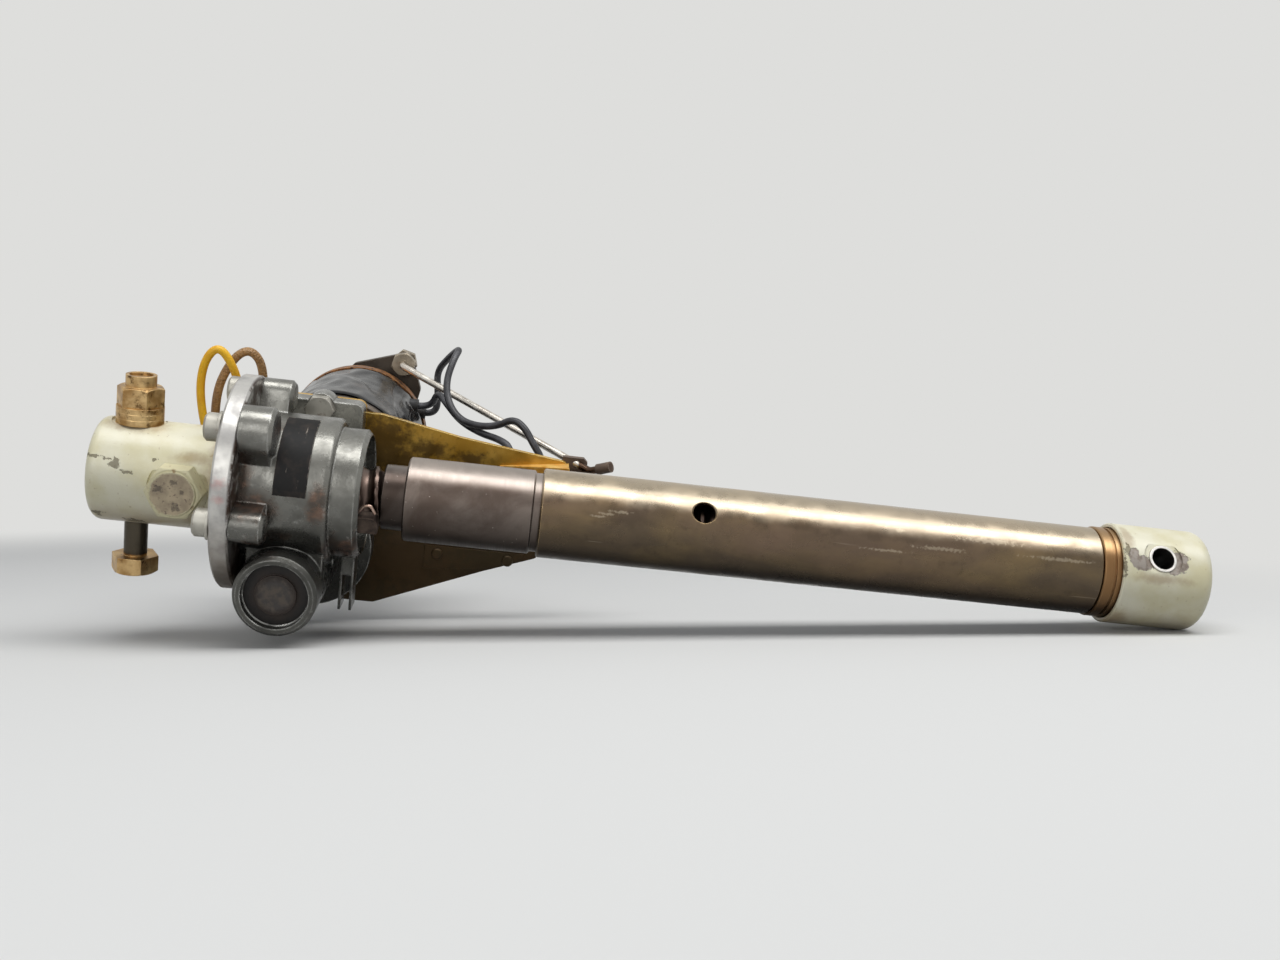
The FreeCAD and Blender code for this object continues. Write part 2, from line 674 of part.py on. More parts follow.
def lift_screw():
    rear_end = REAR_BEARING_X + RUN
    rear_shoulder = REAR_BEARING_X + REAR_BEARING_W + BEARING_SIDE_GAP
    front_shoulder = FRONT_BEARING_X0 - BEARING_SIDE_GAP
    return turned_x([(rear_end, 0), (rear_end, SCREW_REAR_R), (rear_shoulder, SCREW_REAR_R),
                     (rear_shoulder, WHEEL_SEAT_R), (front_shoulder, WHEEL_SEAT_R),
                     (front_shoulder, FRONT_JOURNAL_R), (THREAD_START, FRONT_JOURNAL_R),
                     (THREAD_START, SCREW_R), (SCREW_END - SCREW_POINT, SCREW_R),
                     (SCREW_END, SCREW_R - SCREW_POINT), (SCREW_END, 0)])


def screw_bearings():
    centre = Vector(0, 0, 0)
    rear = ball_race(REAR_BEARING_R, SCREW_REAR_R + FIT, REAR_BEARING_X, REAR_BEARING_W, X_AXIS, centre)
    front = ball_race(FRONT_BEARING_R, FRONT_JOURNAL_R + FIT, FRONT_BEARING_X0, FRONT_BEARING_W, X_AXIS, centre)
    return Part.makeCompound([rear, front])


# Nut barrel, tube and end fitting
def wiper_ring():
    return turned_x([(WIPER_START, SCREW_R + RUN), (WIPER_START, WIPER_R, -0.4), (NUT_START, WIPER_R),
                     (NUT_START, SCREW_R + RUN)])


def nut_barrel():
    spigot_end = TUBE_START + NUT_SPIGOT
    return turned_x([(NUT_START, SCREW_R + RUN), (NUT_START, NUT_R, -NUT_EDGE), (NUT_END, NUT_R, -NUT_EDGE),
                     (NUT_END, GROOVE_R), (TUBE_START, GROOVE_R), (TUBE_START, TUBE_BORE_R - FIT),
                     (spigot_end, TUBE_BORE_R - FIT), (spigot_end, SCREW_R + RUN)])


def extension_tube():
    tube = turned_x([(TUBE_START, TUBE_BORE_R), (TUBE_START, TUBE_R, -TUBE_EDGE), (TUBE_END, TUBE_R, -TUBE_EDGE),
                     (TUBE_END, TUBE_BORE_R)])
    hole = cross_rod(TUBE_HOLE_R, TUBE_HOLE_X, 0, TUBE_R + 1)
    chamfer = Part.makeCone(TUBE_HOLE_R, TUBE_HOLE_R + 2 * TUBE_HOLE_CHAMFER, 2 * TUBE_HOLE_CHAMFER,
                            Vector(TUBE_HOLE_X, 0, 0) + hole_direction() * (TUBE_R - 2 * TUBE_HOLE_CHAMFER),
                            hole_direction())
    return tube.cut([hole, chamfer])


def neck_ring():
    bore = TUBE_BORE_R + FIT
    groove0 = TUBE_END + NECK_LEN * 0.55
    return turned_x([(TUBE_END, bore), (TUBE_END, NECK_R, -0.4), (groove0, NECK_R), (groove0, NECK_GROOVE_R),
                     (groove0 + NECK_GROOVE, NECK_GROOVE_R), (groove0 + NECK_GROOVE, NECK_R),
                     (END_START + END_SOCKET_DEPTH, NECK_R), (END_START + END_SOCKET_DEPTH, bore)])


def end_fitting():
    socket_end = END_START + END_SOCKET_DEPTH
    body = turned_x([(PLUG_START, 0), (PLUG_START, TUBE_BORE_R - FIT), (socket_end, TUBE_BORE_R - FIT),
                     (socket_end, END_SOCKET_R), (END_START, END_SOCKET_R), (END_START, END_R, -0.5),
                     (END_FACE, END_R, END_EDGE), (END_FACE, 0)])
    cuts = [cross_rod(BUSH_R + FIT, END_BORE_X, -END_R - 1, END_R + 1),
            cross_rod(END_FLAT_R, END_BORE_X, END_FLAT, END_R + 1),
            cross_rod(END_FLAT_R, END_BORE_X, -END_R - 1, -END_FLAT)]
    return body.cut(cuts)


def end_bush():
    reach = END_FLAT + BUSH_PROUD
    bush = cross_rod(BUSH_R, END_BORE_X, -reach, reach)
    return bush.cut(cross_rod(END_BORE_R, END_BORE_X, -reach, reach))


# Gear case, bracket and motor
def case_outline(extra=0.0):
    """Outline of the gear case: a round end about the worm and a square top by the motor."""
    top = [(CASE_LEFT - extra, WORM_Z), (CASE_RIGHT + extra, WORM_Z),
           (CASE_RIGHT + extra, CASE_TOP, CASE_EDGE), (CASE_LEFT - extra, CASE_TOP, CASE_EDGE)]
    return top


def gear_case():
    lug = rod_y(CASE_LUG_R, CASE_FRONT, CASE_BACK, CASE_BOLT_X, CASE_TOP - CASE_BOLT_TOP)
    body = fuse([slab_y(case_outline(), CASE_FRONT, CASE_BACK), lug,
                 rod_y(CASE_R, CASE_FRONT, CASE_BACK, WORM_X, WORM_Z)])
    inside = CASE_FRONT + CASE_WALL
    cuts = [rod_y(GEAR_TIP_R + RUN, inside, CASE_BACK, WORM_X, WORM_Z),
            rod_y(PINION_TIP_R + RUN, inside, CASE_BACK, MOTOR_X, MOTOR_Z),
            rod_y(WORM_JOURNAL_R + RUN, CASE_FRONT, inside, WORM_X, WORM_Z)]
    cuts.append(rod_y(CASE_BOLT_R + FIT, CASE_FRONT, CASE_BACK, CASE_BOLT_X, CASE_TOP - CASE_BOLT_TOP))
    return body.cut(cuts)


def case_bolt():
    """Hex bolt through the lug at the top of the gear case."""
    z = CASE_TOP - CASE_BOLT_TOP
    head = hexagon(CASE_BOLT_AF, (CASE_BOLT_X, CASE_FRONT, z), (CASE_BOLT_X, CASE_FRONT - CASE_BOLT_HEAD_H, z))
    return fuse([head, rod_y(CASE_BOLT_R, CASE_FRONT - 1, CASE_BACK, CASE_BOLT_X, z)])


def support_bracket():
    outline = [BRACKET_TOP_A, BRACKET_TOP_B, BRACKET_TIP_TOP + (BRACKET_EDGE,),
               BRACKET_TIP_BOTTOM + (BRACKET_EDGE,), BRACKET_BOTTOM_B, BRACKET_BOTTOM_A + (BRACKET_EDGE,),
               (WORM_X, BRACKET_BOTTOM_A[1]), (WORM_X, BRACKET_TOP_A[1])]
    plate = fuse([slab_y(outline, CASE_BACK, MOTOR_FRONT), slab_y(case_outline(), CASE_BACK, MOTOR_FRONT),
                  rod_y(CASE_R, CASE_BACK, MOTOR_FRONT, WORM_X, WORM_Z)])
    return plate.cut(rod_y(MOTOR_SHAFT_R + 2.0, CASE_BACK, MOTOR_FRONT, MOTOR_X, MOTOR_Z))


def motor_case():
    return turned_y([(MOTOR_FRONT, MOTOR_SHAFT_R + 0.6), (MOTOR_FRONT, MOTOR_R, -1.0), (BELL_START, MOTOR_R),
                     (BELL_START, MOTOR_R - MOTOR_WALL), (MOTOR_FRONT + 4, MOTOR_R - MOTOR_WALL),
                     (MOTOR_FRONT + 4, MOTOR_SHAFT_R + 0.6)], MOTOR_X, MOTOR_Z)


def motor_sleeve():
    y0 = MOTOR_FRONT + SLEEVE_START
    y1 = y0 + SLEEVE_LEN
    return turned_y([(y0, MOTOR_R + FIT), (y0, MOTOR_R + SLEEVE_T, -0.5), (y1, MOTOR_R + SLEEVE_T, -0.5),
                     (y1, MOTOR_R + FIT)], MOTOR_X, MOTOR_Z)


def motor_band():
    """Copper strap round the far end of the motor's shell."""
    y1 = BELL_START + 2.0
    y0 = BELL_START - BAND_W + 2.0
    sleeve_end = MOTOR_FRONT + SLEEVE_START + SLEEVE_LEN
    y0 = max(y0, sleeve_end)
    return turned_y([(y0, MOTOR_R + FIT), (y0, MOTOR_R + BAND_T), (y1, MOTOR_R + BAND_T), (y1, MOTOR_R + FIT)],
                    MOTOR_X, MOTOR_Z)


def motor_end_bell():
    return turned_y([(BELL_START, MOTOR_R - MOTOR_WALL), (BELL_START, MOTOR_R), (MOTOR_BACK, MOTOR_R, 2.5),
                     (MOTOR_BACK, 0), (MOTOR_BACK - 2, 0), (MOTOR_BACK - 2, MOTOR_SHAFT_R + 0.6),
                     (MOTOR_BACK - 8, MOTOR_SHAFT_R + 0.6), (MOTOR_BACK - 8, MOTOR_R - MOTOR_WALL)],
                    MOTOR_X, MOTOR_Z)


def armature_start():
    return MOTOR_FRONT + 8.0


def motor_shaft():
    y0 = CASE_FRONT + CASE_WALL + RUN + PINION_FACE
    y1 = MOTOR_BACK - 2 - RUN
    shaft = rod_y(MOTOR_SHAFT_R, y0, y1, MOTOR_X, MOTOR_Z)
    start = armature_start()
    core = rod_y(ARMATURE_R, start, start + ARMATURE_LEN, MOTOR_X, MOTOR_Z)
    return fuse([shaft, core])


def motor_pinion():
    y0 = CASE_FRONT + CASE_WALL + RUN
    wheel = involute_gear(PINION_TEETH, GEAR_MODULE, PINION_FACE, mesh_angle())
    wheel.translate(Vector(MOTOR_X, y0, MOTOR_Z))
    return wheel


def motor_commutator():
    y0 = armature_start() + ARMATURE_LEN + 2
    ring = rod_y(COMMUTATOR_R, y0, y0 + COMMUTATOR_LEN, MOTOR_X, MOTOR_Z)
    return ring.cut(rod_y(MOTOR_SHAFT_R + FIT, y0, y0 + COMMUTATOR_LEN, MOTOR_X, MOTOR_Z))


def motor_field():
    """Ring of field poles inside the motor's shell."""
    start = armature_start()
    outer = MOTOR_R - MOTOR_WALL - FIT
    ring = rod_y(outer, start, start + ARMATURE_LEN, MOTOR_X, MOTOR_Z)
    return ring.cut(rod_y(ARMATURE_R + RUN * 2, start, start + ARMATURE_LEN, MOTOR_X, MOTOR_Z))


def motor_rear_plate():
    corners = [(56.6, 26.2, 2), (79.6, 33.6, 4), (85.0, 18.0, 4), (76.0, -24.0, 4), (47.0, -24.0, 4),
               (42.0, 10.0, 4)]
    plate = slab_y(corners, MOTOR_BACK, PLATE_BACK)
    return plate.cut(rod_y(TIE_R + FIT, MOTOR_BACK, PLATE_BACK, TIE_X, TIE_Z))


def tie_path():
    """Points of the tie rod: straight out of its nuts, down to the bracket's tip, and its bent tail."""
    back = PLATE_BACK + TIE_NUT_H + TIE_TAIL
    return [(TIE_X, back, TIE_Z), (TIE_X, MOTOR_BACK - TIE_LEAD, TIE_Z), TIE_CORNER, TIE_END]


def tie_rod():
    return bent_rod(tie_path(), TIE_R, TIE_BEND)


def tie_nuts():
    nuts = []
    for start, end in ((MOTOR_BACK, MOTOR_BACK - TIE_NUT_H), (PLATE_BACK, PLATE_BACK + TIE_NUT_H)):
        nut = hexagon(TIE_NUT_AF, (TIE_X, start, TIE_Z), (TIE_X, end, TIE_Z), 15)
        nuts.append(nut.cut(rod_y(TIE_R + FIT, min(start, end), max(start, end), TIE_X, TIE_Z)))
    return Part.makeCompound(nuts)


def tie_sleeve():
    """Short sleeve on the bent tail of the tie rod."""
    corner = Vector(TIE_CORNER)
    end = Vector(TIE_END)
    run = (end - corner).normalize()
    start = corner + run * (TIE_BEND * 0.9)
    return rod(TIE_SLEEVE_R, start, end).cut(rod(TIE_R + FIT, start - run, end + run))


def tie_point(x):
    """Point on the long run of the tie rod at a given x."""
    a = Vector(tie_path()[1])
    b = Vector(TIE_CORNER)
    return a + (b - a) * ((x - a.x) / (b.x - a.x))


def rod_lug():
    """Small lug on the back of the bracket's tip that the tie rod passes through."""
    x0, x1 = ROD_LUG_X
    z0, z1 = ROD_LUG_Z
    lug = slab_y([(x0, z0), (x1, z0, -1.5), (x1, z1, -1.5), (x0, z1)], MOTOR_FRONT, MOTOR_FRONT + ROD_LUG_T)
    return lug.cut(rod(TIE_R + BOLT_GAP, tie_point(x0 - ROD_LUG_T), tie_point(x1)))


def limit_switches():
    cases = []
    for x in SWITCH_X:
        case = slab_y([(x, SWITCH_TOP, SWITCH_EDGE), (x + SWITCH_W, SWITCH_TOP, SWITCH_EDGE),
                       (x + SWITCH_W, SWITCH_TOP - SWITCH_H, SWITCH_EDGE),
                       (x, SWITCH_TOP - SWITCH_H, SWITCH_EDGE)], MOTOR_FRONT, MOTOR_FRONT + SWITCH_T)
        for drop in SWITCH_SCREW_DROP:
            case = case.cut(rod_y(SWITCH_SCREW_R + FIT, MOTOR_FRONT, MOTOR_FRONT + SWITCH_T,
                                  x + SWITCH_W / 2, SWITCH_TOP - drop))
        cases.append(case)
    return Part.makeCompound(cases)


def switch_screws():
    screws = []
    for x in SWITCH_X:
        for drop in SWITCH_SCREW_DROP:
            y1 = MOTOR_FRONT + SWITCH_T
            z = SWITCH_TOP - drop
            screws.append(turned_y([(MOTOR_FRONT, 0), (MOTOR_FRONT, SWITCH_SCREW_R), (y1, SWITCH_SCREW_R),
                                    (y1, SWITCH_SCREW_HEAD_R), (y1 + SWITCH_SCREW_HEAD_H, SWITCH_SCREW_HEAD_R, -0.5),
                                    (y1 + SWITCH_SCREW_HEAD_H, 0)], x + SWITCH_W / 2, z))
    return Part.makeCompound(screws)


def bracket_strip():
    """Thin folded strip: a leg on the bracket, a tapering shelf towards the screw and a lip at its edge."""
    rise = STRIP_END[1] - STRIP_START[1]
    run = STRIP_END[0] - STRIP_START[0]
    length = math.hypot(run, rise)
    edge = Vector(length, -STRIP_REACH, 0)
    inward = Vector(STRIP_REACH, length, 0).normalize() * STRIP_T
    lip_end = edge * (1 - STRIP_LIP_SHARE)
    shelf = Part.Face(Part.makePolygon([Vector(0, 0, 0), Vector(length, 0, 0), edge, Vector(0, 0, 0)]))
    lip = Part.Face(Part.makePolygon([edge, lip_end, lip_end + inward, edge + inward, edge]))
    body = fuse([shelf.extrude(Vector(0, 0, -STRIP_T)), lip.extrude(Vector(0, 0, -STRIP_LIP)),
                 block(0, length, -STRIP_T, 0, -STRIP_LEG, 0)])
    body.rotate(Vector(0, 0, 0), Y_AXIS, -math.degrees(math.atan2(rise, run)))
    body.translate(Vector(STRIP_START[0], CASE_BACK, STRIP_START[1]))
    return body


def bracket_doubler():
    x0, x1, z1, z0 = DOUBLER
    slope = (BRACKET_TIP_BOTTOM[1] - BRACKET_BOTTOM_B[1]) / (BRACKET_TIP_BOTTOM[0] - BRACKET_BOTTOM_B[0])
    low_left = BRACKET_BOTTOM_B[1] + 1 + (BRACKET_BOTTOM_A[1] - BRACKET_BOTTOM_B[1]) * \
        (x0 - BRACKET_BOTTOM_B[0]) / (BRACKET_BOTTOM_A[0] - BRACKET_BOTTOM_B[0])
    low_right = BRACKET_BOTTOM_B[1] + 1 + slope * (x1 - BRACKET_BOTTOM_B[0])
    corners = [(x0, z1), (x1, z1), (x1, low_right), (BRACKET_BOTTOM_B[0], BRACKET_BOTTOM_B[1] + 1),
               (x0, max(z0, low_left))]
    return slab_y(corners, CASE_BACK - DOUBLER_T, CASE_BACK)


def bracket_rivets():
    rivets = []
    x0, x1, z1, z0 = DOUBLER
    for x in (x0 + 5, x1 - 6):
        z = z1 - 3.2
        y1 = CASE_BACK - DOUBLER_T
        rivets.append(turned_y([(y1 - RIVET_HEAD_H, 0), (y1 - RIVET_HEAD_H, RIVET_HEAD_R, -0.4),
                                (y1, RIVET_HEAD_R), (y1, 0)], x, z))
    return Part.makeCompound(rivets)


def stop_frame(shape):
    """Turn a stop piece from the near side of the screw to its angle round it."""
    shape.rotate(Vector(0, 0, 0), X_AXIS, -STOP_ANGLE)
    return shape


def stop_block():
    """Dog that stands in the nose's recess and meets the nut when the tube is drawn in."""
    x0 = NOSE_X - NOSE_RECESS_DEPTH
    x1 = NOSE_X + STOP_REACH
    half = STOP_W / 2
    wire = corners_to_wire([(x0, -half), (x1, -half, 1.2), (x1, half, 3.0), (x0, half)],
                           lambda p: Vector(p.x, -STOP_RADIUS - STOP_T / 2, p.y))
    return stop_frame(Part.Face(wire).extrude(Vector(0, STOP_T, 0)))


def stop_wire():
    """Lock wire bent in a loop over the dog's upper side."""
    x0 = NOSE_X - NOSE_RECESS_DEPTH
    x1 = NOSE_X + STOP_REACH - 1.6
    z0 = STOP_W / 2 + WIRE_R + 0.1
    y = -STOP_RADIUS
    points = [(x0, y, z0), (x0 + 3.4, y, z0), (x0 + 5.4, y, z0 + 3.0), (x1 - 1.2, y, z0 + 3.4),
              (x1 + 0.3, y, z0 + 0.2)]
    return stop_frame(bent_rod(points, WIRE_R, WIRE_R * 2.2))


def bent_rod(points, radius, bend):
    """Round bar through points, straight between tangent arcs of one radius."""
    return lead_tube(points, radius, [bend] * (len(points) - 2))


def arc_radii(points):
    """Largest easy arcs at the inner points of a lead's route."""
    radii = []
    for a, b, c in zip(points, points[1:], points[2:]):
        back = Vector(a) - Vector(b)
        onward = Vector(c) - Vector(b)
        half = back.getAngle(onward) / 2
        radii.append(LEAD_BEND * min(back.Length, onward.Length) * math.tan(half))
    return radii


def lead_tube(points, radius, radii):
    """Tube of straight runs joined by tangent arcs."""
    path = [Vector(p) for p in points]
    edges = []
    start = path[0]
    for i in range(1, len(path) - 1):
        here = path[i]
        back = (path[i - 1] - here).normalize()
        onward = (path[i + 1] - here).normalize()
        half = back.getAngle(onward) / 2
        r = radii[i - 1]
        reach = r / math.tan(half)
        middle = here + (back + onward).normalize() * (r / math.sin(half) - r)
        edges.append(Part.makeLine(start, here + back * reach))
        edges.append(Part.Arc(here + back * reach, middle, here + onward * reach).toShape())
        start = here + onward * reach
    edges.append(Part.makeLine(start, path[-1]))
    circle = Part.Wire(Part.makeCircle(radius, path[0], path[1] - path[0]))
    return Part.Wire(edges).makePipeShell([circle], True, True)


def lead(name):
    points, radius = LEADS[name]
    radii = arc_radii(points)
    tube = lead_tube(points, radius, radii)
    length = sum((Vector(b) - Vector(a)).Length for a, b in zip(points, points[1:]))
    print(name, "radii", [round(r, 1) for r in radii], "runs", round(length, 1),
          "tube", round(tube.Volume / (math.pi * radius ** 2), 1))
    return tube


def shell_x(y, z, side=-1):
    """X of the motor sleeve's outside at a height, on its left or right."""
    return MOTOR_X + side * math.sqrt((MOTOR_R + SLEEVE_T) ** 2 - (z - MOTOR_Z) ** 2)


def lead_grommets():
    """Rubber collars on the motor's side that the leads pass into."""
    collars = []
    for y, z, side in GROMMETS:
        x = shell_x(y, z, side)
        out = Vector(side, 0, 0)
        collar = rod(GROMMET_R, Vector(x, y, z) - out * 1.0, Vector(x, y, z) + out * GROMMET_LEN)
        collars.append(collar.cut(rod_y(MOTOR_R + SLEEVE_T + 0.02, y - 10, y + 10, MOTOR_X, MOTOR_Z)))
    return Part.makeCompound(collars)


# Places on the motor's side, as Y, Z and side, where collars hold the leads
GROMMETS = [(50.0, 13.0, -1), (58.0, 10.0, -1), (50.0, -12.0, -1), (58.0, -8.0, -1), (84.0, 16.0, 1),
            (90.5, 12.0, 1)]


def collar_end(index):
    y, z, side = GROMMETS[index]
    return (shell_x(y, z, side) + side * GROMMET_LEN, y, z)


LEADS = {
    "lead_yellow": ([collar_end(0), (28.8, 50.0, 13.0), (27.4, 38.0, 16.5), (27.6, 27.0, 25.5), (25.6, 22.5, 36.0),
                     (20.2, 21.6, 43.2), (15.2, 22.0, 37.0), (14.0, 22.0, 25.0), (17.4, 23.0, 8.0),
                     (21.5, 32.0, -7.0), (25.5, 50.0, -12.0), collar_end(2)], LEAD_R),
    "lead_tan": ([collar_end(1), (27.6, 58.0, 10.0), (30.0, 47.0, 19.5), (34.2, 35.5, 26.5), (33.4, 31.5, 37.5),
                  (28.6, 30.2, 41.5), (23.0, 30.0, 36.6), (18.2, 28.6, 24.5), (18.6, 30.0, 5.0),
                  (22.0, 45.0, -5.0), (25.5, 58.0, -8.0), collar_end(3)], SLEEVED_R),
    "switch_lead_a": ([collar_end(4), (92.0, 84.0, 16.0), (94.5, 80.0, 23.5), (98.6, 74.0, 20.5),
                       (105.3, 64.0, 16.0), (114.1, 54.0, 14.6), (122.0, 45.5, 14.4), (127.5, 41.3, 13.2),
                       (127.5, 41.3, SWITCH_TOP)], LEAD_R),
    "switch_lead_b": ([collar_end(5), (95.0, 90.5, 12.0), (96.5, 91.5, 25.0), (100.2, 81.5, 42.5),
                       (98.3, 70.0, 31.0), (103.9, 60.0, 19.0), (113.0, 53.0, 17.8), (120.5, 49.5, 19.0),
                       (128.0, 45.5, 23.5), (134.0, 43.0, 16.0), (139.5, 41.3, 12.5),
                       (139.5, 41.3, SWITCH_TOP)], LEAD_R),
}


NODES = [
    ("rear_fitting", rear_fitting),
    ("rear_cross_bolt", rear_cross_bolt),
    ("rear_washers", rear_washers),
    ("rear_lock_nut", rear_lock_nut),
    ("fitting_lock_bolt", fitting_lock_bolt),
    ("cover_plate", cover_plate),
    ("cover_screws", cover_screws),
    ("cover_washers", cover_washers),
    ("gear_housing", gear_housing),
    ("label_plate", label_plate),
    ("worm_bearings", worm_bearings),
    ("worm_plug", worm_plug),
    ("worm_shaft", worm_shaft),
    ("spur_gear", spur_gear),
    ("worm_wheel", worm_wheel),
    ("lift_screw", lift_screw),
    ("screw_bearings", screw_bearings),
    ("wiper_ring", wiper_ring),
    ("nut_barrel", nut_barrel),
    ("extension_tube", extension_tube),
    ("neck_ring", neck_ring),
    ("end_fitting", end_fitting),
    ("end_bush", end_bush),
    ("gear_case", gear_case),
    ("case_bolt", case_bolt),
    ("support_bracket", support_bracket),
    ("motor_case", motor_case),
    ("motor_sleeve", motor_sleeve),
    ("motor_band", motor_band),
    ("motor_end_bell", motor_end_bell),
    ("motor_field", motor_field),
    ("motor_shaft", motor_shaft),
    ("motor_pinion", motor_pinion),
    ("motor_commutator", motor_commutator),
    ("motor_rear_plate", motor_rear_plate),
    ("tie_rod", tie_rod),
    ("tie_nuts", tie_nuts),
    ("tie_sleeve", tie_sleeve),
    ("rod_lug", rod_lug),
    ("limit_switches", limit_switches),
    ("switch_screws", switch_screws),
    ("bracket_strip", bracket_strip),
    ("bracket_doubler", bracket_doubler),
    ("bracket_rivets", bracket_rivets),
    ("stop_block", stop_block),
    ("stop_wire", stop_wire),
    ("lead_grommets", lead_grommets),
]

for lead_name in LEADS:
    NODES.append((lead_name, lambda name=lead_name: lead(name)))

for node_name, make in NODES:
    shape = make()
    print(node_name, len(shape.Solids), shape.isValid(), round(shape.Volume, 1))
    save(node_name, shape)
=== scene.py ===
import math

import bpy
from mathutils import Matrix, Quaternion, Vector, noise


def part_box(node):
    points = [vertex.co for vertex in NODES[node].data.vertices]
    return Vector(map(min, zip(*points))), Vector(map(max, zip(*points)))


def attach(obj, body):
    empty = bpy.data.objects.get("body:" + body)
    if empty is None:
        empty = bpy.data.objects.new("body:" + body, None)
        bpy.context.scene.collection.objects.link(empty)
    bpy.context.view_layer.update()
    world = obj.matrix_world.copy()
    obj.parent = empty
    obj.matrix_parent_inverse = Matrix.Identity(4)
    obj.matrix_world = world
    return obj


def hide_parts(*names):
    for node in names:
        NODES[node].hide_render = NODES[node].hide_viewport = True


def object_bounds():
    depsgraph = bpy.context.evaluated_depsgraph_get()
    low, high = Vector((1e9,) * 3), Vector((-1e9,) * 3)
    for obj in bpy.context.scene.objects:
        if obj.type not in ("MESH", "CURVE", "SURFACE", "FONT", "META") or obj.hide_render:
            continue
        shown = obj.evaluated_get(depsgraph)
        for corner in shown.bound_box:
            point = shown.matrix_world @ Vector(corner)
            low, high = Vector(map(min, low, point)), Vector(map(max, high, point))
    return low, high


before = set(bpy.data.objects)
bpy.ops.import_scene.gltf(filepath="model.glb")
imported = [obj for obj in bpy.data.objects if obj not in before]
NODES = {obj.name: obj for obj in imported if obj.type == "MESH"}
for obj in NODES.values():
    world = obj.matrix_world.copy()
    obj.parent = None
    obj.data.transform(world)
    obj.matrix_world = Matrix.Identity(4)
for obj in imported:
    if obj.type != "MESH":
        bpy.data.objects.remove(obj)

CAD_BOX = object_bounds()
BOX_MIDDLE = (CAD_BOX[0] + CAD_BOX[1]) / 2
MM = 0.001

# Camera at the photograph's viewing angle
CAMERA_PLACE = Vector((0.1354, -0.4661, 0.1326))
CAMERA_LOOK = Vector((0.08038, 0.96691, -0.24211))
CAMERA_ROLL = math.radians(7.33)
CAMERA_LENS = 38.15
CAMERA_SENSOR = 36.0
CAMERA_NEAR = 0.01
CAMERA_FAR = 20

# Floor that the jack lies on, tipped as in the photograph; from near to far it fades to the plain backdrop
FLOOR_NORMAL = Vector((-0.110, 0.216, 0.970)).normalized()
FLOOR_REACH = 2.4
FLOOR_NEAR = 0.36
FLOOR_FAR = 0.62

# Lamps, with their places from the box's middle, and the world's light on the object
KEY_PLACE = Vector((0.06, -0.06, 0.9))
KEY_SIZE = (1.25, 0.45)
KEY_POWER = 8.2
FRONT_PLACE = Vector((-0.5, -0.8, 0.45))
FRONT_SIZE = (0.5, 0.5)
FRONT_POWER = 1.8
WORLD_LIGHT = (0.24, 0.25, 0.265)

# Screw thread
THREAD_START = 0.0733
THREAD_LEAD = 0.00635
THREAD_DEPTH = 0.0019
THREAD_LAND = 0.24
THREAD_STEP = 0.00042
THREAD_SIDES = 56
THREAD_ROUND = 0.62
SCREW_JOURNAL = 0.0085
SCREW_NECK = SCREW_JOURNAL * 0.7
SCREW_STEP = 0.0001
SCREW_CHAMFER = 1.0 * MM

# Shrunk sleeve round the motor
SLEEVE_SIDES = 220
SLEEVE_ROWS = 80
SLEEVE_CREASE = 0.0010
SLEEVE_LIFT = 0.0002
SLEEVE_CLEAR = 0.05 * MM
SLEEVE_TUCK = 26
SLEEVE_LIP = 0.45

# Creases of the sleeve: noise steps round it, steps along it, and where the noise starts
CREASE_LEAN = (1.2, 24, 0)
CREASE_FOLD = (2.6, 26, 3)
CREASE_SECOND = (4.2, 40, 7)
CREASE_SHARP = 3.2
CREASE_BASE = 0.22
CREASE_RIDGE = 0.58
CREASE_SMALL = 0.34

# Meshes and soft edges
SMOOTH_ANGLE = math.radians(38)
BEVEL_SAMPLES = 6
EDGE_STARTS = 0.985
EDGE_FULL = 0.90
LINE_SOFT = 0.15


def srgb(red, green, blue):
    """Scene-linear colour of a screen colour from 0 to 255."""
    values = [v / 255 for v in (red, green, blue)]
    return tuple(v / 12.92 if v <= 0.04045 else ((v + 0.055) / 1.055) ** 2.4 for v in values)


PALE = srgb(222, 222, 220)
CREAM = srgb(232, 228, 204)
CREAM_OLD = srgb(218, 211, 174)
CREAM_GRIME = srgb(150, 118, 74)
BARE_BROWN = srgb(122, 104, 92)
BARE_DARK = srgb(52, 46, 44)
GOLD = srgb(158, 122, 76)
GOLD_PALE = srgb(212, 182, 132)
GOLD_DARK = srgb(88, 62, 36)
SHANK = srgb(78, 72, 62)
PLATE = srgb(205, 203, 198)
PLATE_DULL = srgb(160, 158, 156)
CAST = srgb(142, 141, 135)
CAST_DARK = srgb(98, 97, 92)
CAST_BARE = srgb(200, 200, 196)
# Painted shade for the casting's lower part
CAST_PAINTED_SHADE = srgb(46, 46, 43)
GREASE = srgb(66, 50, 40)
RUST = srgb(112, 78, 58)
# Painted shade for the undersides of the barrel and the wiper
BARREL_PAINTED_SHADE = srgb(36, 31, 28)
TUBE_BROWN = srgb(99, 86, 71)
TUBE_GOLD = srgb(142, 121, 86)
TUBE_PINK = srgb(122, 101, 88)
TUBE_DARK = srgb(62, 54, 46)
# Pale for the tube's scuffs and for the painted highlight along its top
TUBE_SCUFF_AND_HIGHLIGHT = srgb(214, 200, 176)
# Painted shade for the tube's underside
TUBE_PAINTED_SHADE = srgb(42, 37, 32)
BRONZE = srgb(138, 104, 70)
BRONZE_DARK = srgb(70, 54, 38)
ZINC = srgb(186, 142, 48)
ZINC_PALE = srgb(208, 166, 74)
ZINC_EDGE = srgb(236, 216, 150)
ZINC_BROWN = srgb(70, 50, 22)
# Painted shade with some dirt, for the bracket's lower part
ZINC_SHADE_AND_DIRT = srgb(30, 24, 15)
RUBBER = srgb(20, 20, 22)
RUBBER_WORN = srgb(118, 110, 92)
CHIP = srgb(88, 80, 66)
RED_MARK = srgb(196, 96, 88)
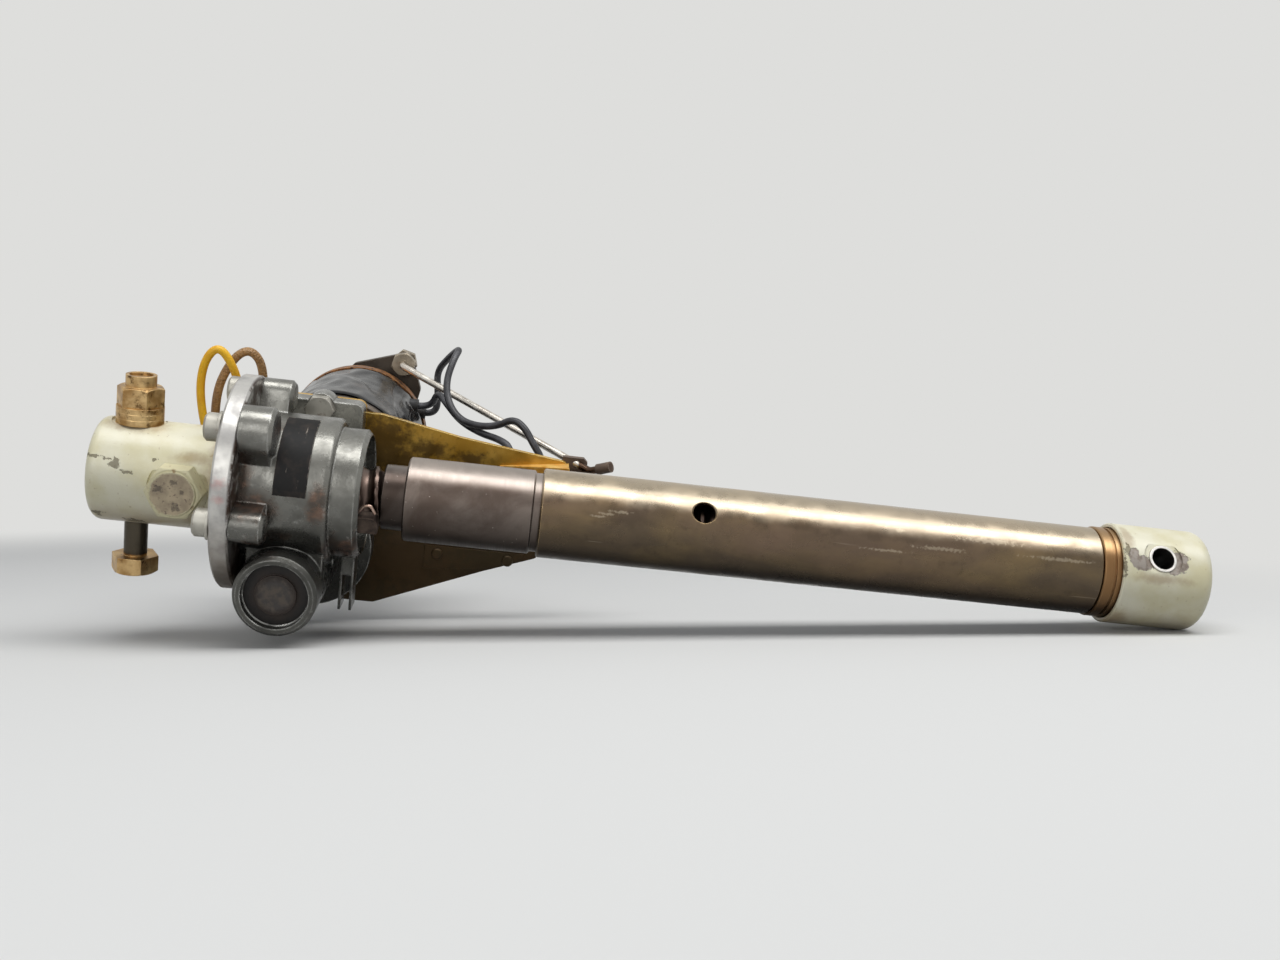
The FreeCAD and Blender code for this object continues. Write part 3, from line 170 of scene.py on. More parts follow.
# Painted shade for the insides of bores
BORE_PAINTED_SHADE = srgb(20, 17, 15)
BARE_STEEL = srgb(158, 150, 142)
BARE_STEEL_DULL = srgb(132, 120, 110)
ROD_TAIL = srgb(84, 66, 54)
# Painted shade with grease, for the plug's rim in the recess
PLUG_SHADE_AND_GREASE = srgb(20, 18, 17)
PLUG_RING = srgb(44, 35, 30)
PLUG_DISC = srgb(86, 78, 70)
PLUG_DISC_DARK = srgb(66, 62, 60)
# Painted shade with some grime, for the plate's foot
DISC_SHADE_AND_GRIME = srgb(104, 92, 80)
FOIL = srgb(18, 17, 17)
FOIL_WORN = srgb(44, 38, 34)
FOIL_RUBBED = srgb(170, 158, 146)
LOCK_FACE = srgb(186, 170, 142)
LOCK_FACE_DULL = srgb(160, 145, 122)
LOCK_FACE_DARK = srgb(118, 102, 90)
FLOOR_SHADE = srgb(150, 150, 150)

# Metals: main, pale and dark colour
GOLD_METAL = (GOLD, GOLD_PALE, GOLD_DARK)
ROD_METAL = (srgb(204, 196, 186), srgb(226, 222, 214), srgb(168, 158, 142))
BUSH_METAL = (PLATE, srgb(224, 220, 216), PLATE_DULL)
DULL_METAL = (srgb(158, 155, 146), srgb(192, 189, 180), BARE_BROWN)
NUT_METAL = (srgb(150, 140, 124), srgb(172, 162, 146), srgb(112, 92, 76))
MOTOR_METAL = (srgb(78, 71, 65), srgb(96, 88, 80), BARE_DARK)
STOP_METAL = (srgb(58, 50, 46), srgb(96, 84, 76), BARE_DARK)
WIPER_METAL = (srgb(66, 57, 52), srgb(176, 166, 160), BARE_DARK)
BARREL_METAL = (srgb(92, 80, 73), srgb(182, 172, 164), BARE_DARK)
NECK_METAL = (BRONZE, srgb(176, 146, 108), BRONZE_DARK)
STRIP_METAL = (srgb(224, 160, 60), srgb(238, 196, 110), ZINC_BROWN)
BAND_METAL = (srgb(134, 92, 60), srgb(176, 128, 86), GREASE)
COMMUTATOR_METAL = (srgb(178, 112, 68), srgb(206, 150, 100), GREASE)
WIRE_METAL = (srgb(168, 140, 126), srgb(206, 184, 170), BARE_BROWN)
BEARING_METAL = (PLATE, srgb(226, 226, 228), PLATE_DULL)
GEAR_METAL = (srgb(140, 138, 134), PLATE, GREASE)
WHEEL_METAL = (BRONZE, GOLD_PALE, GREASE)
CORE_METAL = (srgb(92, 88, 84), srgb(130, 126, 120), BARE_DARK)
SCREW_METAL = (srgb(86, 72, 66), srgb(150, 132, 122), BARE_DARK)

# Plastics, rubber and sleeving: main and worn colour
ROD_SLEEVE = (srgb(86, 70, 58), srgb(120, 100, 84))
PHENOLIC = (srgb(44, 36, 32), srgb(74, 62, 54))
GROMMET = (srgb(30, 30, 32), srgb(64, 60, 58))
YELLOW_COVER = (srgb(244, 190, 34), srgb(232, 164, 18))
TAN_COVER = (srgb(150, 112, 68), srgb(186, 146, 96))
BLACK_COVER = (srgb(46, 46, 50), srgb(80, 80, 84))


class Tree:
    """A node tree with short calls for the nodes that the materials and the world share."""

    def __init__(self, tree):
        self.tree = tree

    def new(self, kind, **settings):
        """A new node with its own settings."""
        node = self.tree.nodes.new(kind)
        for key, value in settings.items():
            setattr(node, key, value)
        return node

    def feed(self, socket, value):
        """Link a socket to another's value, or set it."""
        if isinstance(value, bpy.types.NodeSocket):
            self.tree.links.new(value, socket)
        elif socket.type == "RGBA":
            socket.default_value = tuple(value) + (1.0,)
        else:
            socket.default_value = value

    def calc(self, operation, a, b=0.0):
        """Result of a maths node."""
        node = self.new("ShaderNodeMath", operation=operation)
        self.feed(node.inputs[0], a)
        self.feed(node.inputs[1], b)
        return node.outputs[0]

    def vector(self, operation, a, b=None):
        """Outputs of a vector maths node."""
        node = self.new("ShaderNodeVectorMath", operation=operation)
        self.feed(node.inputs[0], a)
        if b is not None:
            self.feed(node.inputs[1], b)
        return node.outputs

    def level(self, value, start, end, low=0.0, high=1.0):
        """Smooth step of a value from low at start to high at end."""
        node = self.new("ShaderNodeMapRange", interpolation_type="SMOOTHSTEP")
        self.feed(node.inputs["Value"], value)
        node.inputs["From Min"].default_value = start
        node.inputs["From Max"].default_value = end
        node.inputs["To Min"].default_value = low
        node.inputs["To Max"].default_value = high
        return node.outputs["Result"]

    def mix(self, share, a, b):
        """Colour a where share is 0 and b where it is 1."""
        node = self.new("ShaderNodeMix", data_type="RGBA")
        self.feed(node.inputs["Factor"], share)
        self.feed(node.inputs["A"], a)
        self.feed(node.inputs["B"], b)
        return [out for out in node.outputs if out.type == "RGBA"][0]


class Nodes(Tree):
    """A material's node tree, with clouds, masks and edges placed by the object's own coordinates."""

    def __init__(self, name="", material=None):
        if material is None:
            material = bpy.data.materials.new(name)
            material.use_nodes = True
        super().__init__(material.node_tree)
        self.material = material
        self.shader = self.tree.nodes["Principled BSDF"]
        self.place = self.new("ShaderNodeTexCoord").outputs["Object"]

    def stretch(self, factors, turn=(0.0, 0.0, 0.0)):
        """The object's coordinates turned and scaled, for a cloud drawn out one way."""
        node = self.new("ShaderNodeMapping")
        self.feed(node.inputs["Vector"], self.place)
        node.inputs["Scale"].default_value = factors
        node.inputs["Rotation"].default_value = turn
        return node.outputs["Vector"]

    def cloud(self, size, detail=4.0, rough=0.55, bend=0.0, along=None):
        """Noise from 0 to 1 whose largest patches are about size metres across."""
        node = self.new("ShaderNodeTexNoise")
        self.feed(node.inputs["Vector"], along or self.place)
        node.inputs["Scale"].default_value = 1 / size
        node.inputs["Detail"].default_value = detail
        node.inputs["Roughness"].default_value = rough
        node.inputs["Distortion"].default_value = bend
        return node.outputs["Fac"]

    def cells(self, size):
        """Distance to the middle of the nearest of many cells, each about size metres across."""
        node = self.new("ShaderNodeTexVoronoi")
        self.feed(node.inputs["Vector"], self.place)
        node.inputs["Scale"].default_value = 1 / size
        return node.outputs["Distance"]

    def axis(self, letter):
        """One of the object's coordinates, in metres."""
        node = self.new("ShaderNodeSeparateXYZ")
        self.feed(node.inputs[0], self.place)
        return node.outputs[letter]

    def spot(self, centre, reach, ragged=0.5, grain=0.003, soft=0.12):
        """Mask, 1 inside a ragged patch round centre and 0 outside it; lengths in millimetres."""
        away = self.vector("SUBTRACT", self.place, Vector(centre) * MM)["Vector"]
        scaled = self.vector("DIVIDE", away, Vector(reach) * MM)["Vector"]
        length = self.vector("LENGTH", scaled)["Value"]
        uneven = self.calc("MULTIPLY", self.calc("SUBTRACT", self.cloud(grain, 4.0, 0.65), 0.5), 2 * ragged)
        return self.level(self.calc("ADD", length, uneven), 1 + soft, 1 - soft)

    def spots(self, places, ragged=0.5, grain=0.003, soft=0.12):
        """Mask of all the patches in a list of centres and reaches."""
        total = 0.0
        for centre, reach in places:
            total = self.calc("MAXIMUM", total, self.spot(centre, reach, ragged, grain, soft))
        return total

    def height_band(self, start, end, wander=0.006, size=0.016):
        """Mask from 0 at the height start to 1 at the height end, along an uneven line."""
        shift = self.calc("MULTIPLY", self.calc("SUBTRACT", self.cloud(size, 5.0), 0.5), 2 * wander)
        return self.level(self.calc("ADD", self.axis("Z"), shift), start, end)

    def near_line(self, start, way, reach):
        """Mask, 1 closer than reach to the line through start; start and reach in millimetres."""
        away = self.vector("SUBTRACT", self.place, Vector(start) * MM)["Vector"]
        across = self.vector("CROSS_PRODUCT", away, Vector(way).normalized())["Vector"]
        length = self.vector("LENGTH", across)["Value"]
        return self.level(length, reach * MM, (reach - LINE_SOFT) * MM)

    def softened(self, radius):
        """Normal with softened edges."""
        soft = self.new("ShaderNodeBevel", samples=BEVEL_SAMPLES)
        soft.inputs["Radius"].default_value = radius
        return soft.outputs["Normal"]

    def edges(self, radius):
        """Normal with softened edges, and the mask of the edges."""
        soft = self.softened(radius)
        true = self.new("ShaderNodeNewGeometry").outputs["Normal"]
        likeness = self.vector("DOT_PRODUCT", soft, true)["Value"]
        return soft, self.level(likeness, EDGE_STARTS, EDGE_FULL)

    def cover(self, share, colour):
        """Lay a colour over the one that the shader has, where share is 1."""
        socket = self.shader.inputs["Base Color"]
        self.feed(socket, self.mix(share, socket.links[0].from_socket, colour))

    def finish(self, colour, rough, metallic, height, depth, normal=None):
        """Feed the shader, with a bump of the given depth, and return the material."""
        bump = self.new("ShaderNodeBump")
        bump.inputs["Strength"].default_value = 1.0
        bump.inputs["Distance"].default_value = depth
        self.feed(bump.inputs["Height"], height)
        if normal is not None:
            self.feed(bump.inputs["Normal"], normal)
        self.feed(self.shader.inputs["Base Color"], colour)
        self.feed(self.shader.inputs["Roughness"], rough)
        self.feed(self.shader.inputs["Metallic"], metallic)
        self.feed(self.shader.inputs["Normal"], bump.outputs["Normal"])
        return self.material


def worn_cream(name, chips, bare, grime):
    """Old cream paint over steel: chipped places, bare brown places and grime."""
    n = Nodes(name)
    soft, edge = n.edges(0.5 * MM)
    patchy = n.cloud(0.014, 5.0)
    paint = n.mix(n.level(patchy, 0.35, 0.7), CREAM, CREAM_OLD)
    paint = n.mix(n.calc("MULTIPLY", n.spots(grime, 1.0, 0.005, 0.6), 0.5), paint, CREAM_GRIME)
    paint = n.mix(n.level(n.cloud(0.0016, 4.0), 0.66, 0.74, 0.0, 0.4), paint, CREAM_GRIME)
    # Darker and browner towards the bottom
    paint = n.mix(n.calc("MULTIPLY", n.height_band(-0.006, -0.018), 0.45), paint, CREAM_GRIME)
    chipped = n.calc("MAXIMUM", n.spots(chips, 2.6, 0.0018),
                     n.calc("MULTIPLY", edge, n.level(n.cloud(0.003), 0.53, 0.62)))
    bared = n.spots(bare, 0.9, 0.0024, 0.05)
    bare_colour = n.mix(n.level(n.cloud(0.002, 5.0), 0.4, 0.66), BARE_STEEL, BARE_STEEL_DULL)
    rim = n.calc("MULTIPLY", n.level(n.spots(bare, 0.9, 0.0024, 0.2), 0.0, 0.5), 0.6)
    paint = n.mix(rim, paint, BARE_DARK)
    colour = n.mix(bared, paint, bare_colour)
    colour = n.mix(n.calc("MULTIPLY", chipped, 0.75), colour, CHIP)
    gone = n.calc("MAXIMUM", chipped, bared)
    height = n.calc("SUBTRACT", n.cloud(0.0009, 3.0), n.calc("MULTIPLY", gone, 2.5))
    rough = n.mix(gone, (0.3,) * 3, (0.62,) * 3)
    return n.finish(colour, rough, n.calc("MULTIPLY", gone, 0.5), height, 0.05 * MM, soft)


def plated(name, metal, rough, dirt, patch=0.006, metallic=1.0):
    """Plated steel: cloudy plating, worn bright edges and dirt in patches."""
    main, pale, dark = metal
    n = Nodes(name)
    soft, edge = n.edges(0.35 * MM)
    colour = n.mix(n.level(n.cloud(patch, 5.0), 0.35, 0.68), main, pale)
    colour = n.mix(n.level(n.cloud(patch * 0.6, 6.0, 0.7), dirt, dirt + 0.16), colour, dark)
    colour = n.mix(n.calc("MULTIPLY", edge, n.level(n.cloud(0.004), 0.4, 0.6)), colour, pale)
    fine = n.cloud(0.0006, 3.0)
    uneven = n.level(n.cloud(patch * 0.5, 4.0), 0.3, 0.7, rough, rough + 0.2)
    return n.finish(colour, uneven, metallic, fine, 0.012 * MM, soft)


def cross_bolt_plate(name):
    """Brassy plating, dull and dark on the bare shank between the fitting and the head."""
    n = Nodes(material=plated(name, GOLD_METAL, rough=0.3, dirt=0.56))
    n.cover(n.calc("MULTIPLY", n.level(n.axis("Z"), *SHANK_FOOT), n.level(n.axis("Z"), *SHANK_TOP)), SHANK)
    return n.material


def rod_steel(name):
    """Bright rod whose far end, in its sleeve beyond the lug, is brown."""
    n = Nodes(material=plated(name, ROD_METAL, rough=0.24, dirt=0.6))
    n.cover(n.level(n.axis("X"), *ROD_TAIL_START), ROD_TAIL)
    return n.material


def bush_steel(name):
    """Bright bush whose bore is near-black with painted shade and grease."""
    n = Nodes(material=plated(name, BUSH_METAL, rough=0.34, dirt=0.6))
    # Painted shade with grease: the bore near-black and not metallic
    bore = n.near_line(BUSH_MIDDLE, BUSH_AXIS, BUSH_DARK_WITHIN)
    n.cover(bore, BORE_PAINTED_SHADE)
    n.feed(n.shader.inputs["Metallic"], n.calc("SUBTRACT", 1.0, bore))
    return n.material


def plug_face(name):
    """Dark greasy plug with turned rings round a duller middle disc; its rim, deep in the boss's recess, is
    near-black with painted shade and grease.
    """
    n = Nodes(name)
    soft, edge = n.edges(0.4 * MM)
    middle = n.spot(PLUG_MIDDLE, PLUG_DISC_REACH, 0.35, 0.003, 0.2)
    ring = n.spot(PLUG_MIDDLE, PLUG_RING_REACH, 0.5, 0.004, 0.35)
    # Painted shade with grease: near-black round the rim, deep in the recess
    colour = n.mix(ring, PLUG_SHADE_AND_GREASE, PLUG_RING)
    disc = n.mix(n.level(n.cloud(0.003, 5.0), 0.4, 0.6), PLUG_DISC, PLUG_DISC_DARK)
    colour = n.mix(middle, colour, disc)
    colour = n.mix(n.calc("MULTIPLY", edge, 0.3), colour, BARE_BROWN)
    return n.finish(colour, 0.55, 0.35, n.cloud(0.0012, 4.0), 0.05 * MM, soft)


def turned(name, metal, rough, line=0.00025, low=None, blotch=0.35):
    """Metal turned about the X axis, with fine rings and stains; given low, a painted highlight along the top
    and painted shade in that colour on the underside.
    """
    main, pale, dark = metal
    n = Nodes(name)
    soft, edge = n.edges(0.25 * MM)
    rings = n.cloud(line, 2.0, along=n.stretch((1.0, 0.012, 0.012)))
    stain = n.cloud(0.022, 6.0, 0.6, 0.6)
    colour = n.mix(n.level(stain, 0.36, 0.7, 0.0, blotch), main, pale)
    colour = n.mix(n.level(n.cloud(0.009, 6.0, 0.7), 0.56, 0.78, 0.0, blotch), colour, dark)
    if low is not None:
        # Painted highlight: a pale band along the top; painted shade: the low colour over the underside
        colour = n.mix(n.calc("MULTIPLY", n.height_band(0.009, 0.0135, 0.0015), 0.7), colour, pale)
        colour = n.mix(n.calc("MULTIPLY", n.height_band(0.008, -0.012, 0.002), 0.8), colour, low)
    colour = n.mix(n.level(n.cloud(0.0012, 3.0), 0.71, 0.76, 0.0, 0.7), colour, pale)
    colour = n.mix(n.calc("MULTIPLY", edge, 0.6), colour, pale)
    streaks = n.calc("ADD", n.calc("MULTIPLY", rings, 0.5), n.calc("MULTIPLY", stain, 0.5))
    uneven = n.level(streaks, 0.3, 0.7, rough, rough + 0.18)
    return n.finish(colour, uneven, 1.0, rings, 0.006 * MM, soft)


def grey_casting(name, dirt):
    """Grey painted casting with a fine grain, greasy brown corners, rubbed edges and painted shade over its
    lower part.
    """
    n = Nodes(name)
    soft, edge = n.edges(0.9 * MM)
    colour = n.mix(n.level(n.cloud(0.016, 6.0, 0.62), 0.34, 0.7), CAST, CAST_DARK)
    # Painted shade: darker towards the bottom
    colour = n.mix(n.calc("MULTIPLY", n.height_band(0.012, -0.02, 0.01), 0.72), colour, CAST_PAINTED_SHADE)
    colour = n.mix(n.level(n.cloud(0.0035, 5.0), 0.6, 0.78, 0.0, 0.35), colour, CAST_BARE)
    brown = n.mix(n.level(n.cloud(0.0035, 5.0), 0.45, 0.66), GREASE, RUST)
    colour = n.mix(n.calc("MULTIPLY", n.spots(dirt, 1.2, 0.004, 0.55), 0.7), colour, brown)
    colour = n.mix(n.level(n.cloud(0.0048, 6.0, 0.7), 0.68, 0.8, 0.0, 0.6), colour, GREASE)
    rubbed = n.calc("MULTIPLY", edge, n.level(n.cloud(0.005), 0.38, 0.6, 0.1, 0.7))
    colour = n.mix(rubbed, colour, CAST_BARE)
    grain = n.calc("ADD", n.cloud(0.0011, 4.0, 0.65), n.calc("MULTIPLY", n.cloud(0.006, 3.0), 1.6))
    rough = n.level(n.cloud(0.008, 4.0), 0.35, 0.65, 0.2, 0.38)
    return n.finish(colour, rough, 0.72, grain, 0.06 * MM, soft)


# Where a colour starts and where it is full, in metres along an axis
SHANK_FOOT = (-0.0302, -0.0295)
SHANK_TOP = (-0.016, -0.017)
ROD_TAIL_START = (0.1525, 0.1535)
DISC_OIL_START = (0.0386, 0.0393)

# The tube's and the bush's bores, with the reach of their painted shade, and the plug with its rings, in
# millimetres
TUBE_MIDDLE = (0.0, 0.0, 0.0)
TUBE_AXIS = (1.0, 0.0, 0.0)
TUBE_DARK_WITHIN = 14.6
BUSH_MIDDLE = (362.8, 0.0, 0.0)
BUSH_TURN = math.radians(39)
BUSH_AXIS = (0.0, -math.cos(BUSH_TURN), math.sin(BUSH_TURN))
BUSH_DARK_WITHIN = 4.2
PLUG_MIDDLE = (54.9, -30.0, -29.9)
PLUG_DISC_REACH = (5.6, 40.0, 5.6)
PLUG_RING_REACH = (8.2, 40.0, 8.2)

# Where the photograph shows damage and dirt: centres and half sizes, in millimetres
FITTING_CHIPS = [((-10.6, -15.8, 8.0), (1.8, 3, 0.5)), ((-5.4, -16.4, 7.6), (1.5, 3, 0.5)),
                 ((-2.8, -16.8, 6.4), (1.4, 3, 1.2)), ((0.8, -17.5, 3.9), (1.9, 2, 0.6)),
                 ((-9.6, -13.0, -12.6), (1.8, 3, 1.4)), ((10.0, -15.8, 8.8), (0.8, 2, 0.5)),
                 ((2.0, -10.0, -15.0), (2.6, 4, 1.0))]
FITTING_GRIME = [((30.5, -12.0, 6.0), (3.6, 14, 13.0)), ((22.0, -14.5, 10.5), (6.0, 5, 1.6)),
                 ((26.0, -13.0, -11.0), (5.0, 8, 3.0)), ((0.0, -6.0, 17.6), (9.5, 7, 1.6))]
LOCK_BOLT_BARE = [((18.3, -24.9, 0.0), (7.2, 0.9, 7.2))]
LOCK_BOLT_PITS = [((14.0, -25.0, 1.2), (1.3, 1, 1.0)), ((18.6, -25.0, 4.2), (1.0, 1, 0.8)),
                  ((19.5, -25.0, -4.4), (1.4, 1, 1.1)), ((21.5, -25.0, 1.0), (0.8, 1, 0.6))]
END_CHIPS = [((349.5, -12.6, 13.0), (1.2, 2, 1.6)), ((348.6, -16.0, 8.0), (0.6, 2, 3.0))]
END_BARE = [((355.0, -15.6, 9.4), (4.2, 5, 2.4)), ((352.0, -14.0, 11.6), (2.0, 4, 2.2)),
            ((368.6, -14.6, 11.0), (3.4, 5, 3.6)), ((366.8, -16.4, 7.6), (2.2, 3, 1.2))]
END_GRIME = [((350.5, -8.0, 15.5), (2.0, 6, 5.0)), ((363.0, -16.6, 4.6), (9.0, 3, 1.6)),
             ((351.0, -10.0, -14.0), (3.0, 8, 5.0))]
HOUSING_DIRT = [((43.0, -14.0, 20.0), (4.5, 8, 6.0)), ((46.0, -28.0, -2.0), (6.0, 6, 6.0)),
                ((41.0, -26.0, 6.0), (2.6, 8, 12.0)), ((52.0, -30.0, -11.5), (7.0, 7, 2.2)),
                ((48.5, -30.0, -12.5), (6.0, 8, 4.0)), ((49.0, -18.0, 25.0), (5.0, 7, 3.0)),
                ((66.0, -25.0, 2.0), (3.0, 4, 7.0)), ((74.0, -16.0, -16.0), (6.0, 9, 6.0))]
DISC_MARKS = [((36.0, -35.8, 8.6), (2.0, 2, 1.4)), ((36.4, -36.6, 3.6), (1.4, 2, 1.2))]
TUBE_BLOTS = [((176.0, -10.2, 12.2), (5.0, 5, 2.2)), ((208.0, -11.6, 10.8), (3.6, 4, 1.2)),
              ((217.0, -12.8, 9.4), (2.4, 4, 1.6)), ((229.0, -13.2, 8.8), (6.0, 4, 1.0)),
              ((243.0, -13.3, 8.6), (4.4, 4, 1.2)), ((257.0, -13.5, 8.2), (3.2, 4, 1.2)),
              ((270.0, -13.4, 8.4), (5.2, 4, 1.2)), ((204.0, -14.7, -5.5), (20.0, 5, 2.0)),
              ((148.0, -6.6, 14.4), (6.0, 5, 2.0)), ((170.0, -14.6, 6.0), (9.0, 4, 3.0))]
TUBE_SCUFFS = [((160.5, -14.9, 5.2), (2.4, 3, 0.3)), ((163.5, -14.6, 6.3), (2.6, 3, 0.3)),
               ((167.5, -14.2, 7.2), (2.6, 3, 0.35)),
               ((281.0, -14.4, 6.4), (7.0, 3, 0.5)), ((267.0, -11.6, 10.8), (1.6, 3, 0.5)),
               ((300.0, -12.0, 10.4), (9.0, 3, 0.7)), ((325.0, -14.2, 7.0), (9.0, 3, 0.5)),
               ((262.0, -15.3, 4.0), (6.0, 3, 0.4))]
BRACKET_STAINS = [((79.0, 36.0, 10.0), (11.0, 3, 12.0)), ((96.0, 36.0, 10.0), (7.5, 3, 3.0)),
                  ((112.0, 36.0, 8.0), (6.0, 3, 2.4)), ((86.0, 36.0, 4.0), (9.0, 3, 6.0)),
                  ((125.0, 36.0, -14.0), (16.0, 3, 7.0)), ((92.0, 36.0, -34.0), (18.0, 3, 12.0)),
                  ((136.0, 36.0, -24.0), (5.0, 3, 6.0))]


def disc_plate(name):
    """Bright turned plate with two faint red marks, painted shade with some grime at its foot, and brown
    grease on its front.
    """
    n = Nodes(name)
    soft = n.softened(0.5 * MM)
    colour = n.mix(n.level(n.cloud(0.012, 5.0), 0.38, 0.66), PLATE, PLATE_DULL)
    # Painted shade with some grime: darker brown towards the foot
    low = n.level(n.calc("ADD", n.axis("Z"), n.calc("MULTIPLY", n.cloud(0.01, 5.0), 0.02)), 0.012, -0.018)
    colour = n.mix(n.calc("MULTIPLY", low, 0.85), colour, DISC_SHADE_AND_GRIME)
    colour = n.mix(n.calc("MULTIPLY", n.spots(DISC_MARKS, 1.6, 0.002, 0.8), 0.26), colour, RED_MARK)
    front = n.level(n.axis("X"), *DISC_OIL_START)
    oily = n.level(n.cloud(0.007, 6.0, 0.65), 0.4, 0.56)
    colour = n.mix(n.calc("MULTIPLY", front, oily), colour, GREASE)
    rough = n.level(n.cloud(0.006, 4.0), 0.35, 0.65, 0.3, 0.5)
    return n.finish(colour, rough, 0.65, n.cloud(0.0008, 3.0), 0.02 * MM, soft)


def tube_skin(name):
    """Brown heat-stained tube: gold and pink patches, blots, scuffs and long fine scratches, with a painted
    highlight along its top, painted shade underneath and painted shade in its bore.
    """
    n = Nodes(name)
    soft, edge = n.edges(0.3 * MM)
    long_way = n.stretch((0.35, 1.0, 1.0))
    gold = n.level(n.cloud(0.016, 5.0, 0.55, 0.6, long_way), 0.36, 0.74, 0.0, 0.75)
    colour = n.mix(gold, TUBE_BROWN, TUBE_GOLD)
    pink = n.level(n.cloud(0.03, 4.0, 0.5, 0.5, long_way), 0.45, 0.75, 0.0, 0.6)
    colour = n.mix(pink, colour, TUBE_PINK)
    colour = n.mix(n.level(n.cloud(0.006, 7.0, 0.72), 0.52, 0.8, 0.0, 0.55), colour, TUBE_DARK)
    # Painted highlight: a pale band along the top
    colour = n.mix(n.calc("MULTIPLY", n.height_band(0.0085, 0.0135, 0.003), 0.6), colour, TUBE_SCUFF_AND_HIGHLIGHT)
    # Painted shade: darker over the underside
    colour = n.mix(n.calc("MULTIPLY", n.height_band(0.007, -0.013, 0.004), 0.78), colour, TUBE_PAINTED_SHADE)
    blots = n.spots(TUBE_BLOTS, 1.8, 0.005, 0.9)
    colour = n.mix(n.calc("MULTIPLY", blots, 0.34), colour, TUBE_DARK)
    scratch_way = n.stretch((0.04, 1.0, 1.0), (0.0, 0.0, math.radians(4)))
    scratches = n.level(n.cloud(0.0013, 3.0, 0.5, 0.0, scratch_way), 0.69, 0.75)
    scuffs = n.calc("MAXIMUM", n.spots(TUBE_SCUFFS, 2.6, 0.0012, 0.5), n.calc("MULTIPLY", scratches, 0.4))
    colour = n.mix(n.calc("MULTIPLY", scuffs, 0.3), colour, TUBE_SCUFF_AND_HIGHLIGHT)
    colour = n.mix(n.calc("MULTIPLY", edge, 0.8), colour, GOLD_PALE)
    # Painted shade: the tube's bore near-black
    colour = n.mix(n.near_line(TUBE_MIDDLE, TUBE_AXIS, TUBE_DARK_WITHIN), colour, BORE_PAINTED_SHADE)
    rough = n.level(n.cloud(0.009, 5.0), 0.35, 0.65, 0.24, 0.4)
    height = n.calc("SUBTRACT", n.cloud(0.0007, 3.0), scuffs)
    return n.finish(colour, rough, 0.92, height, 0.012 * MM, soft)


def yellow_chromate(name):
    """Yellow chromate on sheet: cloudy, stained brown, bright on its cut edges, with painted shade and some
    dirt darkening its lower part.
    """
    n = Nodes(name)
    soft, edge = n.edges(0.35 * MM)
    colour = n.mix(n.level(n.cloud(0.013, 5.0), 0.38, 0.66), ZINC, ZINC_PALE)
    # Painted shade with some dirt: browner below the middle and near-black on the lower part
    colour = n.mix(n.calc("MULTIPLY", n.height_band(0.012, 0.0, 0.006), 0.5), colour, ZINC_BROWN)
    colour = n.mix(n.calc("MULTIPLY", n.height_band(0.002, -0.012, 0.008), 0.9), colour, ZINC_SHADE_AND_DIRT)
    colour = n.mix(n.calc("MULTIPLY", n.spots(BRACKET_STAINS, 1.6, 0.003, 0.6), 0.78), colour, ZINC_BROWN)
    colour = n.mix(n.level(n.cloud(0.0024, 5.0), 0.6, 0.74, 0.0, 0.6), colour, ZINC_BROWN)
    colour = n.mix(n.calc("MULTIPLY", edge, n.height_band(-0.008, 0.002)), colour, ZINC_EDGE)
    rough = n.level(n.cloud(0.005, 4.0), 0.35, 0.65, 0.32, 0.52)
    return n.finish(colour, rough, 0.55, n.cloud(0.0008, 3.0), 0.02 * MM, soft)


def black_foil(name):
    """Bare black foil plate, rubbed pale along its edges and with a few scratches."""
    n = Nodes(name)
    soft, edge = n.edges(0.3 * MM)
    colour = n.mix(n.level(n.cloud(0.004, 5.0), 0.45, 0.75), FOIL, FOIL_WORN)
    scratch = n.level(n.cloud(0.0009, 3.0, 0.5, 0.0, n.stretch((1.0, 0.12, 0.12))), 0.68, 0.74, 0.0, 0.6)
    rubbed = n.calc("MULTIPLY", edge, n.level(n.cloud(0.002), 0.4, 0.55))
    colour = n.mix(n.calc("MAXIMUM", scratch, rubbed), colour, FOIL_RUBBED)
    n.shader.inputs["Specular IOR Level"].default_value = 0.2
    return n.finish(colour, 0.5, 0.0, n.cloud(0.0012, 3.0), 0.02 * MM, soft)


def shrunk_sleeve(name):
    """Black sleeve, dusty and rubbed pale in patches."""
    n = Nodes(name)
    soft = n.softened(0.5 * MM)
    rubbed = n.level(n.cloud(0.007, 4.0, 0.5, 1.2, n.stretch((1.0, 0.4, 1.0))), 0.58, 0.76)
    dust = n.level(n.cloud(0.008, 6.0, 0.7), 0.5, 0.78, 0.0, 0.2)
    colour = n.mix(dust, RUBBER, BARE_BROWN)
    colour = n.mix(n.calc("MULTIPLY", rubbed, 0.16), colour, RUBBER_WORN)
    rough = n.level(n.cloud(0.006, 4.0), 0.35, 0.65, 0.16, 0.28)
    n.shader.inputs["Specular IOR Level"].default_value = 0.3
    return n.finish(colour, rough, 0.0, n.cloud(0.006, 1.0, 0.4), 0.02 * MM, soft)


